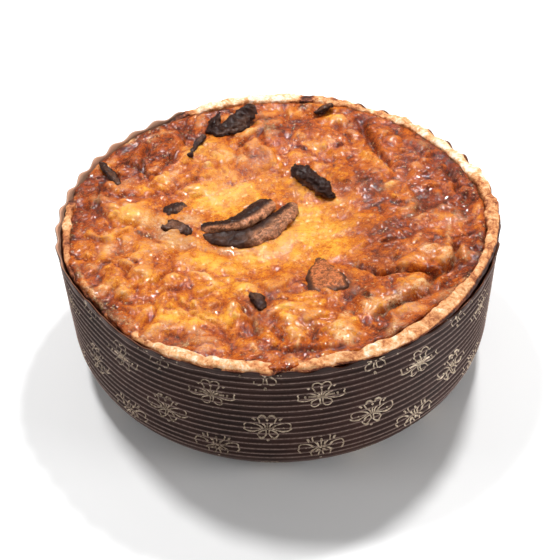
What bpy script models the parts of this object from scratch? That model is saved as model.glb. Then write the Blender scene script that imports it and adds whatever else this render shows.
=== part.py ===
"""A deep mushroom quiche in its fluted paper baking mould.

Every size below is in millimetres and is turned to metres by MM where a mesh is made.
The origin is the middle of the mould's underside, +Z is up and -Y is the front.
Angles round the pie are in degrees, from +X through +Y (the back).
"""

import math

import bmesh
import bpy
import numpy as np

MM = 0.001
GAP = 0.35

# The paper mould
RIM_RADIUS = 85.0
MOULD_HEIGHT = 60.0
WALL_FOOT_RADIUS = 83.6
CORNER_HEIGHT = 20.0
CORNER_REACH = 18.0
WALL_THICKNESS = 2.0
BASE_THICKNESS = 1.2
RIB_COUNT = 16
RIB_PITCH = 2.84
RIB_DEPTH = 0.9
FIRST_RIB = 1.0
SCALLOP_COUNT = 45
SCALLOP_DEPTH = 2.6
SCALLOP_STEPS = 4
DENT_ANGLE = 216.0
DENT_DEPTH = 2.4
DENT_SPREAD = 14.0

# The pastry shell
PASTRY_CLEARANCE = 0.6
PASTRY_BASE = 4.0
PASTRY_SEGMENTS = 90
RIM_ROUNDING = 0.45
# How far the pastry's inner side leans in on its way down
LEAN = 1.8
# Angle, crest above the mould's rim, reach past the mould's inner wall, thickness at the top
PASTRY_RIM = (
    (0, 2.0, 2.1, 3.4),
    (10, 2.6, 2.1, 4.4),
    (20, 1.4, 0.6, 4.2),
    (38, 1.0, 0.4, 4.2),
    (60, 1.0, 0.4, 4.0),
    (76, 1.6, 0.8, 4.8),
    (92, 2.6, 1.0, 6.2),
    (108, 2.6, 0.8, 6.0),
    (116, 0.8, 0.2, 3.4),
    (124, -1.2, 0.1, 2.4),
    (145, -2.2, 0.1, 2.2),
    (168, -1.4, 0.1, 2.2),
    (182, -0.6, 0.1, 3.2),
    (198, -1.2, 0.1, 2.4),
    (216, -1.4, 0.1, 2.4),
    (236, -0.4, 0.1, 2.4),
    (252, 0.6, 0.3, 2.8),
    (268, -0.4, 0.1, 2.2),
    (282, 0.8, 0.3, 2.6),
    (288, 1.8, 0.5, 2.8),
    (297, 2.2, 1.8, 3.2),
    (312, 2.8, 1.4, 4.2),
    (328, 2.6, 0.5, 3.0),
    (345, 2.2, 1.6, 3.4),
)

# The baked custard
CUSTARD_CENTRE_HEIGHT = 55.2
PUFFED_RISE = 3.9
PUFFED_FROM = 20.0
PUFFED_TO = 58.0
EDGE_WIDTH = 12.0
EDGE_DROP = 0.7
EDGE_HIGHEST = 0.9
CUSTARD_SEGMENTS = 90
CUSTARD_RINGS = 19
# Lumps and hollows: x, y, half length, half width, turn of the long axis, height
LUMPS = (
    (41.4, -45.1, 13, 6.5, 8, 2.2),
    (48.3, -23.3, 13, 10, -20, 2.0),
    (61.1, -23.5, 11, 4, 80, 1.6),
    (60.1, 30.7, 17, 11, 110, 1.6),
    (48.3, 48.5, 15, 8, 100, 1.4),
    (31.8, 23.5, 10, 8, -30, 1.6),
    (39.7, -7.5, 8, 7, 0, 1.4),
    (-63.1, 41.6, 11, 9, 50, 1.8),
    (-44.3, 46.5, 15, 8, 95, 1.6),
    (-29.7, 29.9, 9, 7, 70, 1.3),
    (-71.9, 13, 13, 6, 95, 1.2),
    (-57.2, 3.2, 9, 7, 0, 0.9),
    (-57.2, -28.4, 12, 8, 120, 0.8),
    (-25.6, -50, 12, 9, 0, 0.8),
    (21.7, -65.8, 8, 6, 70, 1.2),
    (3, -58.9, 7, 5, 60, 1.0),
    (13.8, 56.4, 12, 7, 0, 1.4),
    (-5.9, 41.8, 11, 8, 0, 1.0),
    (69, -0.8, 8, 10, 0, 0.9),
    (-6, -26.2, 16, 9, 10, -1.2),
    (14, 0.3, 12, 9, 90, -1.0),
    (-22, 13, 12, 8, -20, -1.0),
    (59.1, 7.1, 9, 6, 40, -0.9),
)
# Folds, raised on the left of their run: points, step height, width of the step, length of the slope behind
FOLDS = (
    (((55.2, -40.2), (53.2, -49.1), (43.4, -54), (32.5, -60.9)), -2.2, 0.9, 7.0),
    (((65, -20.5), (63.1, -33.3), (56.2, -38.2), (45.3, -37.3), (31.6, -38.7)), -2.0, 0.9, 7.0),
    (((38.4, 64.3), (39.4, 52.4), (42.4, 38.6), (49.3, 25.9)), 1.8, 1.0, 6.0),
    (((-53.2, 55.4), (-53.2, 40.6), (-51.2, 28.8)), -1.5, 0.9, 6.0),
    (((-35.5, 64.3), (-38.4, 48.5), (-49.3, 26.8)), -1.7, 1.2, 6.0),
    (((-67, 28.8), (-70, 15), (-68, 1.2)), 1.2, 0.9, 5.0),
    (((-75.9, -22.5), (-69, -36.3), (-60.1, -50.1), (-51.2, -62.9)), 1.5, 0.8, 9.0),
    (((-16.8, -44.3), (-12.8, -55), (-7.9, -66.8)), -1.0, 1.2, 6.0),
    (((-30.6, 35.8), (-30.8, 24.5)), -1.2, 0.8, 5.0),
)

# The mushroom pieces: x, y, lift of the middle over the custard, half width, half thickness, side tilt
MUSHROOMS = {
    "mushroom_slice_centre": (
        ((-29.5, -3.2, 0.3, 1.9, 1.6, 0), (-24.7, -3.7, 1, 3.2, 2.4, 8),
         (-19.5, -3.8, 1.4, 3.4, 2.6, 10), (-14.4, -1.8, 1.6, 4.2, 2.7, 12),
         (-9.9, 1.9, 1.8, 5, 2.7, 14), (-5.9, 6.7, 2, 5.4, 2.7, 14), (-3.2, 10.9, 1.5, 4, 2.2, 10)),
        ((-28.4, -7.6, -0.3, 1.6, 1.4, 0), (-23.3, -10.1, 0.2, 3.4, 2, -6),
         (-18.2, -10.8, 0.4, 4.2, 2.1, -8), (-13.2, -10.9, 0.5, 4.4, 2.1, -8),
         (-8.1, -9.5, 0.6, 4.6, 2.1, -8), (-3.6, -5.9, 0.7, 4.8, 2.1, -6), (1, -0.1, 0.8, 4.6, 2, 0),
         (4.4, 5.2, 0.8, 3.9, 1.9, 0), (6.5, 10.2, 0.5, 2.2, 1.4, 0)),
    ),
    "mushroom_slice_left_upper": (
        ((-44.8, 2.2, -0.5, 1.2, 1.1, 0), (-41.7, 6.1, -0.1, 3, 1.6, 0), (-38.6, 8.9, -0.1, 3.2, 1.6, 0),
         (-36, 11.3, -0.4, 1.8, 1.2, 0)),
    ),
    "mushroom_slice_left_lower": (
        ((-44.8, -4.5, -0.6, 1.9, 1.3, 0), (-41.2, -3, -0.2, 3.4, 1.6, 0),
         (-38.1, -3.3, -0.1, 3.6, 1.6, 0), (-35.1, -5.3, -0.2, 2.6, 1.4, 0),
         (-33.3, -7, -0.5, 1.4, 1.1, 0)),
    ),
    "mushroom_cap_back": (
        ((7.8, 34.2, 0.1, 2.4, 1.7, 0), (11.5, 28.2, 1, 4.4, 2.6, 8), (15.7, 22.6, 1.3, 4.7, 2.9, 10),
         (19.1, 17.7, 1, 3.8, 2.5, 8), (22.9, 13.1, 0.1, 1.4, 1.2, 0)),
    ),
    "mushroom_curl_back_left": (
        ((-26.6, 56.3, 0.2, 2.9, 1.6, 0), (-25.8, 59.8, 1.4, 3.4, 1.6, 15),
         (-24.5, 62.9, 3, 2.6, 1.3, 25), (-23.2, 65.6, 4.6, 0.8, 0.7, 25)),
        ((-25.5, 54.6, 0.3, 3, 1.8, 0), (-22.1, 56.9, 0.9, 4, 1.9, -10),
         (-17.7, 59.1, 1.8, 4.6, 1.9, -15), (-13.4, 63.2, 3, 4.6, 1.7, -20),
         (-10.5, 66.5, 4.6, 4, 1.3, -20), (-9.8, 69.5, 5.8, 2, 0.8, -10)),
    ),
    "mushroom_tail_back_left": (
        ((-29.1, 54, 0.1, 1.2, 0.9, 0), (-31.9, 49.1, 0.4, 1.9, 1.1, 0), (-33.8, 43.2, 0.2, 1.2, 0.9, 0),
         (-35.3, 38.6, 0.1, 1.4, 1, 0)),
    ),
    "mushroom_slice_front_right": (
        ((14.8, -22.6, -0.1, 1.4, 1.2, 0), (15.7, -27.5, 0.3, 3.8, 1.6, 0),
         (16.2, -34.1, 0.5, 6.9, 1.7, 0), (17.5, -40.4, 0.4, 7.9, 1.6, 0),
         (18.4, -45.2, -0.1, 6.6, 1.2, 0)),
    ),
    "mushroom_piece_front": (
        ((-10.8, -44.5, 0, 1.2, 0.9, 0), (-8.4, -47.6, 0.5, 2.2, 1.3, 0), (-7, -51.1, 0.5, 2.1, 1.2, 0),
         (-6.5, -54.5, 0.1, 1.3, 0.9, 0)),
    ),
    "mushroom_piece_back_right": (
        ((17.4, 69.1, 0.4, 1.3, 0.9, 0), (19.9, 69.3, 1.1, 1.8, 1.2, 0), (23.2, 70.4, 1.9, 2, 1.2, 0),
         (25.8, 71.2, 2.4, 1.3, 0.9, 0)),
    ),
    "mushroom_strip_left": (
        ((-72.1, 37.5, 2.4, 1, 0.8, 0), (-69.3, 33.2, 1.9, 2, 1.3, 0), (-66.4, 28.3, 1.1, 2.2, 1.4, 0),
         (-63.6, 22.9, 0.5, 1.5, 1.1, 0), (-62, 20.5, 0.2, 0.8, 0.7, 0)),
    ),
}
MUSHROOM_SIDES = 8
MUSHROOM_STEPS = 2

# Colour, roughness and metallic value of each material
FINISHES = {
    "brown_paper": ((0.055, 0.032, 0.026), 0.55, 0.0),
    "pale_pastry": ((0.66, 0.44, 0.24), 0.75, 0.0),
    "browned_custard": ((0.62, 0.25, 0.06), 0.35, 0.0),
    "roasted_mushroom": ((0.05, 0.03, 0.022), 0.45, 0.0),
}


def clear_scene():
    for thing in list(bpy.data.objects):
        bpy.data.objects.remove(thing, do_unlink=True)


def material(name):
    """A plain Principled material from the table of finishes."""
    colour, roughness, metallic = FINISHES[name]
    made = bpy.data.materials.new(name)
    made.use_nodes = True
    shader = made.node_tree.nodes["Principled BSDF"]
    shader.inputs["Base Color"].default_value = (*colour, 1.0)
    shader.inputs["Roughness"].default_value = roughness
    shader.inputs["Metallic"].default_value = metallic
    return made


def ring_angles(count):
    return [2 * math.pi * step / count for step in range(count)]


def turn_between(a, b):
    """The smallest turn from angle b to angle a, in degrees."""
    return (a - b + 180.0) % 360.0 - 180.0


def ease(value, low, high):
    """A smooth step from 0 at low to 1 at high."""
    share = np.clip((value - low) / (high - low), 0.0, 1.0)
    return share * share * (3 - 2 * share)


def rim_value(degrees, column):
    """One column of PASTRY_RIM at an angle, between the two keys on either side."""
    keys = np.array(PASTRY_RIM)
    return np.interp(degrees, keys[:, 0], keys[:, column], period=360)


def dent(degrees, height):
    """How far the paper wall is pushed in at an angle, most at the rim and nothing at the foot."""
    share = max(0.0, height / MOULD_HEIGHT)
    near = np.exp(-((turn_between(degrees, DENT_ANGLE) / DENT_SPREAD) ** 2))
    return DENT_DEPTH * near * share * share


def wall_point(run):
    """Radius, height and outward normal of the mould's outer face, at run along it from the rim."""
    slope = math.hypot(RIM_RADIUS - WALL_FOOT_RADIUS, MOULD_HEIGHT - CORNER_HEIGHT)
    if run <= slope:
        share = run / slope
        radius = RIM_RADIUS + (WALL_FOOT_RADIUS - RIM_RADIUS) * share
        return radius, MOULD_HEIGHT + (CORNER_HEIGHT - MOULD_HEIGHT) * share, (1.0, 0.0)
    turn = min((run - slope) / CORNER_HEIGHT, math.pi / 2)
    radius = WALL_FOOT_RADIUS - CORNER_REACH * (1 - math.cos(turn))
    return radius, CORNER_HEIGHT * (1 - math.sin(turn)), (math.cos(turn), -math.sin(turn))


def corner_points(inset, floor, turns):
    """Radius and height round the mould's lower corner, moved in by inset and ending on floor."""
    found = []
    for turn in turns:
        radius = WALL_FOOT_RADIUS - CORNER_REACH * (1 - math.cos(turn)) - inset * math.cos(turn)
        height = CORNER_HEIGHT + (floor - CORNER_HEIGHT) * math.sin(turn)
        found.append((radius, height))
    return found


def on_circle(radius, angle, height):
    return radius * math.cos(angle), radius * math.sin(angle), height


def skin(rings, closed_ends=True):
    """Points and faces of the closed surface through rings of points, with a pole at each end.

    A ring of one point is a pole. A ring may have a whole number of times the points of the next one.
    """
    points, starts = [], []
    for ring in rings:
        starts.append(len(points))
        points.extend(ring)
    faces = []
    for low in range(len(rings) - 1):
        few, many = low, low + 1
        flipped = len(rings[few]) > len(rings[many])
        if flipped:
            few, many = many, few
        ratio = len(rings[many]) // len(rings[few])
        count = len(rings[few])
        for i in range(len(rings[many])):
            j = (i + 1) % len(rings[many])
            a = starts[few] + (((i + ratio // 2) // ratio) % count if ratio > 1 else i)
            b = starts[few] + (((j + ratio // 2) // ratio) % count if ratio > 1 else j)
            if count == 1:
                a = b = starts[few]
            face = [a, starts[many] + i, starts[many] + j, b]
            if a == b:
                face = face[:3]
            faces.append(face[::-1] if flipped else face)
    return points, faces


def add_object(name, points, faces, finish):
    """An object from points in millimetres, with its faces turned outwards and shaded smooth."""
    mesh = bpy.data.meshes.new(name)
    mesh.from_pydata([[value * MM for value in point] for point in points], [], faces)
    mesh.validate()
    shell = bmesh.new()
    shell.from_mesh(mesh)
    bmesh.ops.recalc_face_normals(shell, faces=shell.faces)
    if shell.calc_volume(signed=True) < 0:
        bmesh.ops.reverse_faces(shell, faces=shell.faces)
    shell.to_mesh(mesh)
    shell.free()
    mesh.shade_smooth()
    mesh.set_sharp_from_angle(angle=math.radians(40))
    made = bpy.data.objects.new(name, mesh)
    if finish:
        made.data.materials.append(finish)
    bpy.context.scene.collection.objects.link(made)
    return made


def rim_ring(inset):
    """The mould's scalloped top edge, moved in by inset."""
    ring = []
    for step, angle in enumerate(ring_angles(SCALLOP_COUNT * SCALLOP_STEPS)):
        phase = 2 * math.pi * step / SCALLOP_STEPS
        height = MOULD_HEIGHT - SCALLOP_DEPTH / 2 * (1 - math.cos(phase))
        radius = RIM_RADIUS - inset - dent(math.degrees(angle), MOULD_HEIGHT)
        ring.append(on_circle(radius, angle, height))
    return ring


def mould_ring(radius, height):
    return [
        on_circle(radius - dent(math.degrees(angle), height), angle, height)
        for angle in ring_angles(SCALLOP_COUNT)
    ]


def build_mould(finish):
    """The fluted paper cup: ribs round its outer face, a smooth lining, a flat base and a scalloped edge."""
    rings = [[(0.0, 0.0, 0.0)]]
    rings += [mould_ring(r, z) for r, z in reversed(corner_points(0.0, 0.0, (0.55, 0.95, 1.3, math.pi / 2)))]
    ribs = []
    clear_of_edge = 2
    for rib in range(clear_of_edge, RIB_COUNT):
        for half, sink in ((-0.5, RIB_DEPTH), (0.0, 0.0)):
            radius, height, (out, down) = wall_point(FIRST_RIB + (rib + half) * RIB_PITCH)
            ribs.append((radius - sink * out, height - sink * down))
    rings += [mould_ring(r, z) for r, z in reversed(ribs)]
    rings.append(rim_ring(0.0))
    rings.append(rim_ring(WALL_THICKNESS))
    lining = RIM_RADIUS - WALL_THICKNESS
    rings.append(mould_ring(lining, MOULD_HEIGHT - SCALLOP_DEPTH - 3.0))
    rings.append(mould_ring(lining - 0.6, 36.0))
    for radius, height in corner_points(WALL_THICKNESS, BASE_THICKNESS, (0.0, 0.5, 1.0, math.pi / 2)):
        rings.append(mould_ring(radius, height))
    rings.append([(0.0, 0.0, BASE_THICKNESS)])
    return add_object("paper_mould", *skin(rings), finish)


def pastry_section(degrees):
    """Radius and height along one cut of the pastry: up outside, over the rim and down inside."""
    rise, reach, thickness = (rim_value(degrees, column) for column in (1, 2, 3))
    pressed = dent(degrees, MOULD_HEIGHT)
    outer = RIM_RADIUS - WALL_THICKNESS - PASTRY_CLEARANCE
    crest = MOULD_HEIGHT + rise
    shoulder = min(MOULD_HEIGHT - 0.4, crest - 2.2)
    inset = WALL_THICKNESS + PASTRY_CLEARANCE
    base = BASE_THICKNESS + PASTRY_CLEARANCE
    section = [
        (r, z) for r, z in reversed(corner_points(inset, base, (0.0, 0.5, 1.0, math.pi / 2)))
    ]
    section.append((outer - 0.6 - dent(degrees, 36.0), 36.0))
    section.append((outer - pressed - 0.3, shoulder))
    section.append((outer - pressed + reach, shoulder + 0.9))
    section.append((outer - pressed + reach - thickness * RIM_ROUNDING, crest))
    inner = inner_radius(degrees)
    section.append((inner, crest - 1.4))
    lower = inner - LEAN
    section.append((lower, 36.0))
    foot = PASTRY_BASE + base
    section.append((lower - 1.0, foot + 9.0))
    section.append((lower - 4.6, foot + 2.8))
    section.append((lower - 13.0, foot))
    return section


def inner_radius(degrees):
    """Radius of the pastry's inner side, which the custard fills."""
    lined = RIM_RADIUS - WALL_THICKNESS - PASTRY_CLEARANCE - dent(degrees, MOULD_HEIGHT) - 0.3
    return lined + np.minimum(rim_value(degrees, 2), 0.5) - rim_value(degrees, 3)


def build_pastry(finish):
    angles = ring_angles(PASTRY_SEGMENTS)
    sections = [pastry_section(math.degrees(angle)) for angle in angles]
    base = BASE_THICKNESS + PASTRY_CLEARANCE
    rings = [[(0.0, 0.0, base)]]
    for row in range(len(sections[0])):
        rings.append([on_circle(s[row][0], a, s[row][1]) for s, a in zip(sections, angles)])
    rings.append([(0.0, 0.0, base + PASTRY_BASE)])
    return add_object("pastry_shell", *skin(rings), finish)


def fold_rise(x, y, points, step, width, slope):
    """Height that one fold adds: a steep step on its line that dies away behind it and at its two ends."""
    nearest = np.full_like(x, 1e9)
    signed = np.zeros_like(x)
    along = np.zeros_like(x)
    lengths = [math.dist(a, b) for a, b in zip(points, points[1:])]
    total = sum(lengths)
    passed = 0.0
    for (ax, ay), (bx, by), length in zip(points, points[1:], lengths):
        ux, uy = (bx - ax) / length, (by - ay) / length
        t = (x - ax) * ux + (y - ay) * uy
        clamped = np.clip(t, 0.0, length)
        dx, dy = x - ax - clamped * ux, y - ay - clamped * uy
        distance = np.hypot(dx, dy)
        closer = distance < nearest
        side = np.sign(ux * dy - uy * dx)
        nearest = np.where(closer, distance, nearest)
        signed = np.where(closer, distance * side, signed)
        along = np.where(closer, passed + clamped, along)
        passed += length
    if step < 0:
        signed, step = -signed, -step
    share = along / total
    fade = np.clip(4 * share, 0, 1) * np.clip(4 * (1 - share), 0, 1)
    front = 1 / (1 + np.exp(-np.clip(signed / width * 3, -30, 30)))
    behind = np.exp(-np.clip(signed, 0, None) / slope)
    return step * fade * (front * behind - 0.35 * np.exp(-((signed / (2 * width)) ** 2)))


def custard_height(x, y):
    """Height of the custard's top at points x, y."""
    x, y = np.asarray(x, float), np.asarray(y, float)
    radius = np.hypot(x, y)
    height = CUSTARD_CENTRE_HEIGHT + PUFFED_RISE * ease(radius, PUFFED_FROM, PUFFED_TO)
    for cx, cy, length, width, turn, rise in LUMPS:
        c, s = math.cos(math.radians(turn)), math.sin(math.radians(turn))
        u = ((x - cx) * c + (y - cy) * s) / length
        v = (-(x - cx) * s + (y - cy) * c) / width
        height += rise * np.exp(-((u * u + v * v) ** 1.4))
    for fold in FOLDS:
        height += fold_rise(x, y, *fold)
    degrees = np.degrees(np.arctan2(y, x))
    edge = MOULD_HEIGHT - EDGE_DROP + np.minimum(rim_value(degrees, 1), EDGE_HIGHEST)
    side = inner_radius(degrees)
    return height + (edge - height) * ease(radius, side - EDGE_WIDTH, side)


def build_custard(finish):
    """The filling: a plug that fills the pastry, with its puffed and folded top."""
    angles = ring_angles(CUSTARD_SEGMENTS)
    sides = [inner_radius(math.degrees(angle)) - GAP for angle in angles]
    foot = BASE_THICKNESS + PASTRY_CLEARANCE + PASTRY_BASE + GAP
    rings = [[(0.0, 0.0, foot)]]
    lower = [side - LEAN for side in sides]
    for inset, height in ((13.4, foot), (5.0, foot + 2.9), (1.0, foot + 9.2), (0.0, 36.0)):
        rings.append([on_circle(side - inset, a, height) for side, a in zip(lower, angles)])
    for ring in range(CUSTARD_RINGS):
        share = 1 - ring / CUSTARD_RINGS
        xs = [side * share * math.cos(a) for side, a in zip(sides, angles)]
        ys = [side * share * math.sin(a) for side, a in zip(sides, angles)]
        rings.append([tuple(point) for point in zip(xs, ys, custard_height(xs, ys))])
    rings.append([(0.0, 0.0, float(custard_height(0.0, 0.0)))])
    return add_object("custard_filling", *skin(rings), finish)


def between(stations, share):
    """One station, eased between its neighbours by a Catmull-Rom curve through all the stations."""
    last = len(stations) - 1
    at = min(int(share * last), last - 1)
    t = share * last - at
    a, b, c, d = (stations[min(max(at + k, 0), last)] for k in (-1, 0, 1, 2))
    return [
        0.5 * (2 * q + (r - p) * t + (2 * p - 5 * q + 4 * r - s) * t * t + (3 * q - p - 3 * r + s) * t ** 3)
        for p, q, r, s in zip(a, b, c, d)
    ]


def slice_rings(stations, grow):
    """Rings of a mushroom piece along its stations, made larger by grow, with a rounded pole at each end."""
    steps = (len(stations) - 1) * MUSHROOM_STEPS
    path = [between(stations, step / steps) for step in range(steps + 1)]
    centres = [
        np.array([x, y, float(custard_height(x, y)) + lift]) for x, y, lift, *_ in path
    ]
    rings = []
    for i, (_, _, _, width, thick, tilt) in enumerate(path):
        ahead = centres[min(i + 1, steps)] - centres[max(i - 1, 0)]
        ahead /= np.linalg.norm(ahead)
        side = np.cross(ahead, (0.0, 0.0, 1.0))
        side /= np.linalg.norm(side)
        up = np.cross(side, ahead)
        c, s = math.cos(math.radians(tilt)), math.sin(math.radians(tilt))
        side, up = side * c + up * s, up * c - side * s
        ring = []
        for angle in ring_angles(MUSHROOM_SIDES):
            offset = side * (width + grow) * math.cos(angle) + up * (thick + grow) * math.sin(angle)
            ring.append(tuple(centres[i] + offset))
        rings.append(ring)
        if i in (0, steps):
            end = centres[i] + ahead * (0.6 * thick + grow) * (-1 if i == 0 else 1)
            rings.insert(0 if i == 0 else len(rings), [tuple(end)])
    return rings


def build_mushroom(name, lobes, custard, finish):
    """One mushroom piece, and the pocket it lies in, cut from the custard with a small gap round it."""
    whole = None
    for number, stations in enumerate(lobes):
        cutter = add_object(f"{name}_pocket_{number}", *skin(slice_rings(stations, GAP)), None)
        cutter.hide_render = True
        cutter.display_type = "WIRE"
        pocket = custard.modifiers.new(cutter.name, "BOOLEAN")
        pocket.operation = "DIFFERENCE"
        pocket.object = cutter
        if whole is None:
            whole = add_object(name, *skin(slice_rings(stations, 0.0)), finish)
            continue
        lobe = add_object(f"{name}_lobe_{number}", *skin(slice_rings(stations, 0.0)), None)
        lobe.hide_render = True
        lobe.display_type = "WIRE"
        join = whole.modifiers.new(lobe.name, "BOOLEAN")
        join.operation = "UNION"
        join.object = lobe
    return whole


def main():
    clear_scene()
    paper, pastry, custard, mushroom = (
        material(name)
        for name in ("brown_paper", "pale_pastry", "browned_custard", "roasted_mushroom")
    )
    build_mould(paper)
    build_pastry(pastry)
    filling = build_custard(custard)
    for name, lobes in MUSHROOMS.items():
        build_mushroom(name, lobes, filling, mushroom)


main()
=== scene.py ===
"""Looks of a deep mushroom quiche in its fluted paper baking mould.

Lengths in the tables and shape functions are in millimetres, angles in degrees from +X through +Y.
MM turns them to metres where a mesh or a modifier input is made.
"""

import math

import bpy
import numpy as np
from mathutils import Matrix, Vector


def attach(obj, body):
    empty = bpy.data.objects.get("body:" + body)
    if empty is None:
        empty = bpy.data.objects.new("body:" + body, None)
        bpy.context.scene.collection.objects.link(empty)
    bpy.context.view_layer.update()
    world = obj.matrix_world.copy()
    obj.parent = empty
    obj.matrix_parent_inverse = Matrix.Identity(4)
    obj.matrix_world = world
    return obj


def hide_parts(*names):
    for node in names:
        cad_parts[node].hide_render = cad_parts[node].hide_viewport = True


bl_info = {
    "name": "Mushroom Quiche in a Paper Mould",
    "version": (1, 0, 0),
    "blender": (4, 5, 0),
    "location": "View3D > Sidebar > Quiche",
    "description": "Builds a browned mushroom quiche, its pastry and its printed paper mould",
    "category": "Object",
}

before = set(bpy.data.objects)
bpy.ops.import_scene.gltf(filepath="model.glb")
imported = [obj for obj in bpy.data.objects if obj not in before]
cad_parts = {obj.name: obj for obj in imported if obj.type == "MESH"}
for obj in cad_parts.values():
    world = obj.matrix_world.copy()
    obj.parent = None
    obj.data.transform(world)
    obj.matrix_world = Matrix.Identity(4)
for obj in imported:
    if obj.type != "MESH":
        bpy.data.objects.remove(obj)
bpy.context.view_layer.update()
MM = 0.001

# Rim, wall and corner of the mould, as its solid has them
RIM_RADIUS = 85.0
MOULD_HEIGHT = 60.0
WALL_FOOT_RADIUS = 83.6
CORNER_HEIGHT = 20.0
CORNER_REACH = 18.0
WALL_THICKNESS = 2.0
BASE_THICKNESS = 1.2
PASTRY_CLEARANCE = 0.6
PASTRY_BASE = 4.0
SCALLOP_PHASE = 271.5
DENT_ANGLE = 216.0
DENT_DEPTH = 2.4
DENT_SPREAD = 14.0
LEAN = 1.8

# The paper itself, and how far its scalloped band, its seen lining and its ribs reach below the rim
PAPER_EDGE = 84.45
PAPER_WALL = 0.55
PAPER_ROUNDING = 0.12
EDGE_BAND = 3.3
LINING_BAND = 6.0
LOWEST_RIB = 47.2
PLAIN_RINGS = (20.0, 45.0, 62.0)

# The pastry rim: how far out it may reach, how far its sides start below its crest, and where its wall starts
RIM_LIMIT = 84.75
CRUMB_LIMIT = 84.9
RIM_SHOULDER = 1.9
WALL_STARTS = 53.0

# Height of the custard's top, as its solid has it
CUSTARD_CENTRE_HEIGHT = 55.2
PUFFED_RISE = 3.9
PUFFED_FROM = 20.0
PUFFED_TO = 58.0
EDGE_WIDTH = 12.0
EDGE_DROP = 0.7
EDGE_HIGHEST = 0.9

# Browning of the custard, which also carries painted shade in its creases, from 0 for pale to 1 for burnt, and how
# high its underside lies
LEAST_TOAST = 0.41
MOST_TOAST = 0.82
CUSTARD_FOOT = 6.2

# Sides of the pie, as angles: the lining painted paler as if lit, which is painted light, low front rim, browned rim
# outside and scalloped rim at the back right
LIT_LINING_SIDE = 150
LOW_SIDE = 303
BROWNED_SIDE = 333
SCALLOPED_SIDE = 36

# Points round a ring or along a side of the custard's grid
MOULD_SEGMENTS = 540
PASTRY_SEGMENTS = 810
CREST_RINGS = 44
CUSTARD_STEPS = 292
SECTION_POINTS = 42
STATION_STEPS = 13
LINE_STEPS = 7
DOT_POINTS = 10

# Angle, crest above the mould's rim, reach past the mould's inner wall, thickness at the top
PASTRY_RIM = (
    (0, 2, 2.1, 3.4), (10, 2.6, 2.1, 4.4), (20, 1.4, 0.6, 4.2), (38, 1, 0.4, 4.2), (60, 1, 0.4, 4),
    (76, 1.6, 0.8, 4.8), (92, 2.6, 1, 6.2), (108, 2.6, 0.8, 6), (116, 0.8, 0.2, 3.4), (124, -1.2, 0.1, 2.4),
    (145, -2.2, 0.1, 2.2), (168, -1.4, 0.1, 2.2), (182, -0.6, 0.1, 3.2), (198, -1.2, 0.1, 2.4),
    (216, -1.4, 0.1, 2.4), (236, -0.4, 0.1, 2.4), (252, 0.6, 0.3, 2.8), (268, -0.4, 0.1, 2.2), (282, 0.8, 0.3, 2.6),
    (288, 1.8, 0.5, 2.8), (297, 2.2, 1.8, 3.2), (312, 2.8, 1.4, 4.2), (328, 2.6, 0.5, 3), (345, 2.2, 1.6, 3.4),
)

# Angle and how far the custard has run over the pastry there
SPILL = (
    (0, 0.5), (10, 0.3), (38, 0.3), (50, 1), (68, 1), (76, 0.5), (92, 0.3), (110, 0.3), (116, 0.6), (124, 1.8),
    (134, 2.8), (166, 2.8), (174, 0.5), (190, 0.6), (198, 2), (210, 2.6), (216, 2.6), (224, 3), (230, 3.2),
    (234, 2.4), (238, 2.4), (245, 1.8), (252, 2.4), (260, 2.1), (265, 3), (270, 4.4), (275, 3.9), (280, 3.4),
    (284, 2.6), (288, 1.6), (292, 0.6), (300, 0.2), (312, 0.1), (322, 0.6), (345, 0.4),
)

# Angle, how far the rim laps over the paper's edge and how much higher it lies there
LAPS = (
    (0, 0, 0), (200, 0, 0), (229, 0.2, 0), (232, 0.9, 0.3), (238, 0.6, 0.2), (241, 1.7, 0.5), (245, 2.2, 0.6),
    (249, 1.2, 0.3), (252, 1.6, 0.4), (257, 2.4, 0.6), (260, 1.9, 0.4), (263, 2.3, 0.5), (267, 2.1, 0.4),
    (269, 0.9, 0.1), (272, 1.2, 0.2), (276, 2.1, 0.5), (280, 1.9, 0.4), (283, 1.2, 0.2), (287, 2, 0.4),
    (291, 1.4, 0.2), (297, 0.4, 0),
)

# Angle and how browned the rim is there
RIM_BAKE = (
    (0, 0.46), (6, 0.34), (14, 0.1), (20, 0.14), (30, 0.2), (50, 0.28), (66, 0.38), (74, 0.42), (76.5, 0.4),
    (78, 0.9), (80.5, 0.9), (82, 0.2), (92, 0.06), (100, 0.1), (108, 0.14), (114, 0.26), (118, 0.85), (150, 0.88),
    (170, 0.85), (173.5, 0.5), (180, 0.42), (190, 0.46), (197, 0.58), (203, 0.85), (230, 0.7), (236, 0.3),
    (244, 0.22), (255, 0.24), (262, 0.28), (272, 0.42), (284, 0.32), (292, 0.28), (300, 0.33), (310, 0.38),
    (320, 0.42), (335, 0.44), (345, 0.42), (352, 0.5), (357, 0.5),
)

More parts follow.
